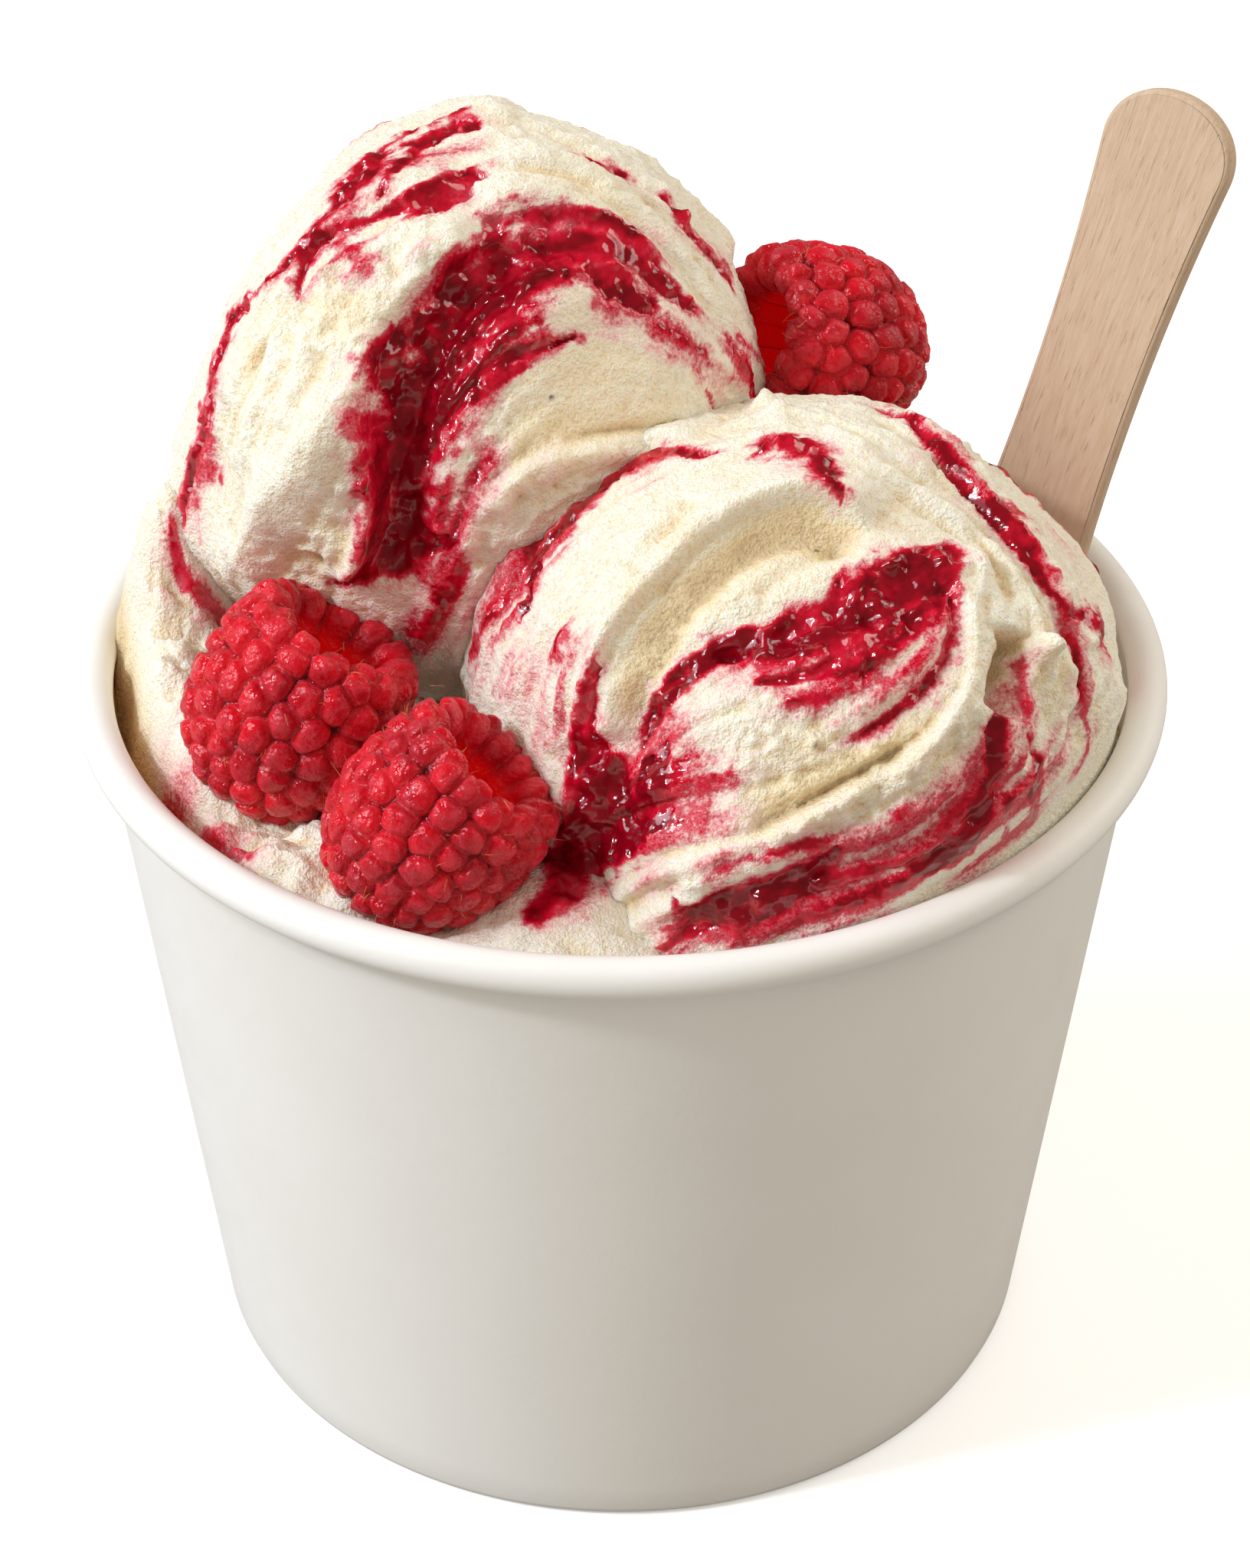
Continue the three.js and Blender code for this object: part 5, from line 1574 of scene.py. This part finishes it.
def makeBerry(name, seed):
    form = berryForm
    centre, axis, size, spin = berries[name]
    chance = np.random.default_rng(seed)
    rows, columns = form["rows"], form["columns"]
    outline, run, lipAt = berryOutline()
    along = unit(np.gradient(outline, axis=0))
    out = np.stack([along[:, 1], -along[:, 0]], 1)
    out[0] = (0, -1)
    out[-1] = (0, 1)
    base, normal = spun(outline, columns), spun(out, columns)
    runs = np.repeat(run, columns)
    turn = np.tile(np.arange(columns) / columns * 2 * math.pi, rows)
    inside = smoothStep(lipAt - 0.5, lipAt + 1.2, runs)

    drupelets, lastAngles = placeDrupelets(outline, run, along, lipAt, chance)
    crown = crownsOf(base, drupelets)
    wrinkleRise, wrinkleSize = form["wrinkle"]
    wrinkle = wrinkleRise * lumpsAt(base + (spin * 50, 0, 0), wrinkleSize, seed + 30) * smoothStep(0.3, 0.8, crown)
    # Inside, a flute runs down the hollow from each drupelet of the last ring.
    apart = np.abs((turn[:, None] - lastAngles + math.pi) % (2 * math.pi) - math.pi).min(1)
    flute = np.minimum(apart / (math.pi / len(lastAngles)), 1)
    flute = np.sqrt(np.clip(1 - form["flute"] * flute**2, 0, 1))
    ribs = (0.9 * flute - 0.2) * inside * smoothStep(lipAt + 11, lipAt + 3, runs)
    lumpy = form["wave"] * np.sin(3 * turn + seed) * (outline[:, 0].repeat(columns) / form["radius"])
    rise = (form["bead"] * crown - form["sunk"] + wrinkle) * (1 - inside) + ribs + lumpy
    points = base + normal * rise[:, None]
    points[:columns] = points[:columns].mean(0)
    points[-columns:] = points[-columns:].mean(0)

    lean = Vector((0, 0, 1)).rotation_difference(Vector(unit(np.array(axis)))).to_matrix()
    stand = np.array(lean @ Matrix.Rotation(spin, 3, "Z")).T * size
    faces = ringFaces(rows, columns)
    # Painted light: the glow of the hollow, brightest on its flutes.
    glow = inside * (0.45 + 0.55 * smoothStep(0.3, 0.6, flute))
    values = {"crown": crown + (0.75 - crown) * inside, "inside": glow}
    meshPiece(name + "_flesh", points @ stand + centre, faces, raspberry, name, values)
    points, faces = makeHairs(drupelets, chance)
    meshPiece(name + "_hairs", points @ stand + centre, faces, berryHair, None)


for number, name in enumerate(berries):
    makeBerry(name, 5 + number)
print("raspberries made")


spoon = {
    "foot": (35.17, 10, 67.44),
    "up": (0.258, 0.096, 0.961),
    "across": (0.78, -0.608, -0.148),
    "thickness": 1.8,
    "reachUp": 47.5,
    "reachDown": 46,
    "waist": 4.97,
    "waistAt": 19.6,
    "flare": 0.9,
    "endRadius": 5.8,
    "paddle": 8.4,
    "rounding": 0.45,
    "roundingSteps": 6,
    "stations": 160,
}


def spoonHalfWidth(along):
    flare = spoon["waist"] + spoon["flare"] * ((along - spoon["waistAt"]) / 20) ** 2
    top = spoon["reachUp"] - spoon["endRadius"]
    bottom = -spoon["reachDown"] + spoon["paddle"]
    roundTop = math.sqrt(max(0, 1 - ((along - top) / spoon["endRadius"]) ** 2)) if along > top else 1
    roundFoot = math.sqrt(max(0, 1 - ((along - bottom) / spoon["paddle"]) ** 2)) if along < bottom else 1
    return min(flare, flare if along > 0 else spoon["paddle"]) * roundTop * roundFoot


def makeSpoon():
    stations = spoon["stations"]
    right = []
    for i in range(stations + 1):
        share = (1 - math.cos(i / stations * math.pi)) / 2
        along = -spoon["reachDown"] + share * (spoon["reachDown"] + spoon["reachUp"])
        right.append((spoonHalfWidth(along), along))
    loop = np.array(right + [(-x, y) for x, y in right[-2:0:-1]])
    tangent = np.roll(loop, -1, 0) - np.roll(loop, 1, 0)
    inward = unit(np.stack([-tangent[:, 1], tangent[:, 0]], 1))
    half, soft = spoon["thickness"] / 2, spoon["rounding"]
    rows = []
    for angle in np.radians(np.linspace(90, 0, spoon["roundingSteps"])):
        rows.append((soft * (1 - math.cos(angle)), half - soft * (1 - math.sin(angle))))
    rows += [(inset, -height) for inset, height in rows[::-1]]
    count = len(loop)
    flat = np.vstack([np.column_stack([loop + inward * inset, np.full(count, height)]) for inset, height in rows])
    faces = ringFaces(len(rows), count).tolist()
    curved = len(faces)
    # The two faces are strips between the left and right edges.
    for low, flip in ((0, False), ((len(rows) - 1) * count, True)):
        for i in range(stations):
            quad = [low + i, low + i + 1, low + (count - i - 1) % count, low + (count - i) % count]
            quad = list(dict.fromkeys(quad))
            faces.append(quad[::-1] if flip else quad)
    up = unit(np.array(spoon["up"]))
    across = np.array(spoon["across"])
    across = unit(across - (across @ up) * up)
    face = np.cross(across, up)
    points = np.array(spoon["foot"]) + flat[:, :1] * across + flat[:, 1:2] * up + flat[:, 2:] * face
    piece = meshPiece("birch_spoon", points, faces, birchWood, "wooden_spoon", {"alongGrain": flat})
    smooth = [i < curved for i in range(len(piece.data.polygons))]
    piece.data.polygons.foreach_set("use_smooth", smooth)
    piece.data.update()


makeSpoon()
print("spoon made")


floorLook = {
    "tones": {"seen": (250, 252, 255), "second": (247, 247, 246), "bounce": (162, 158, 152)},
    "mottle": {"Scale": 3.0, "Amount": 0.3},
    "glow": 0.3,
    "skin": {"Roughness": 0.9, "Specular IOR Level": 0.1, "Emission Color": (1.0, 1.0, 1.0, 1.0)},
}

studio = {
    "floorReach": 3.0,
    "worldSeen": (255, 255, 255),
    "worldLight": (255, 244, 226),
    "worldStrength": 0.63,
    "worldGloss": 0.12,  # share of the world that shows in wet surfaces
    # place, size, power and colour of each soft light, all turned to the middle of the cup
    "lights": {
        "key": ((-0.95, -0.1, 0.72), 0.8, 7.2, (0.84, 0.915, 1.0)),
        "spark": ((-0.85, -0.35, 0.85), 0.14, 5.4, (0.94, 0.96, 1.0)),
        "back": ((0.95, 0.35, 0.65), 0.8, 4.7, (1.0, 0.94, 0.87)),
    },
    "middle": (0, 0, 0.06),
}


# The floor is pale to the eye, and sends a duller light up to the part.
def wireFloor(net, look, tones):
    seen = net.add("LightPath").outputs["Is Camera Ray"]
    pale = mottled(net, net.place(), tones["seen"], tones["second"], look["mottle"])
    return {
        "Base Color": net.mix(seen, tones["bounce"], pale),
        "Emission Strength": net.times(seen, look["glow"]),
    }


def makeFloor():
    reach = studio["floorReach"]
    mesh = bpy.data.meshes.new("floor")
    corners = [(-reach, -reach, 0), (reach, -reach, 0), (reach, reach, 0), (-reach, reach, 0)]
    mesh.from_pydata(corners, [], [(0, 1, 2, 3)])
    floor = bpy.data.objects.new("floor", mesh)
    bpy.context.collection.objects.link(floor)
    mesh.materials.append(makeMaterial("paleFloor", floorLook, wireFloor))


# The world is white to the eye, lights the part softly, and shows only faintly in wet surfaces.
def makeWorld():
    world = bpy.data.worlds.new("studioLight")
    world.use_nodes = True
    net = nodeNet(world.node_tree)
    background = world.node_tree.nodes["Background"]
    rays = net.add("LightPath").outputs
    seen, strength = rays["Is Camera Ray"], studio["worldStrength"]
    net.feed(background.inputs["Color"], net.mix(seen, paint(*studio["worldLight"]), paint(*studio["worldSeen"])))
    lit = net.span(rays["Is Glossy Ray"], 0.0, 1.0, strength, strength * studio["worldGloss"], smooth=False)
    net.feed(background.inputs["Strength"], net.math("ADD", seen, lit, clamp=True))
    bpy.context.scene.world = world


def makeLights():
    for name, (place, size, power, colour) in studio["lights"].items():
        data = bpy.data.lights.new(name, "AREA")
        data.shape = "DISK"
        data.size = size
        data.energy = power
        data.color = colour
        light = bpy.data.objects.new(name, data)
        bpy.context.collection.objects.link(light)
        light.location = place
        light.rotation_mode = "QUATERNION"
        light.rotation_quaternion = (Vector(studio["middle"]) - Vector(place)).to_track_quat("-Z", "Y")


makeFloor()
makeWorld()
makeLights()
bpy.context.scene.view_settings.view_transform = "Standard"
print("studio made")
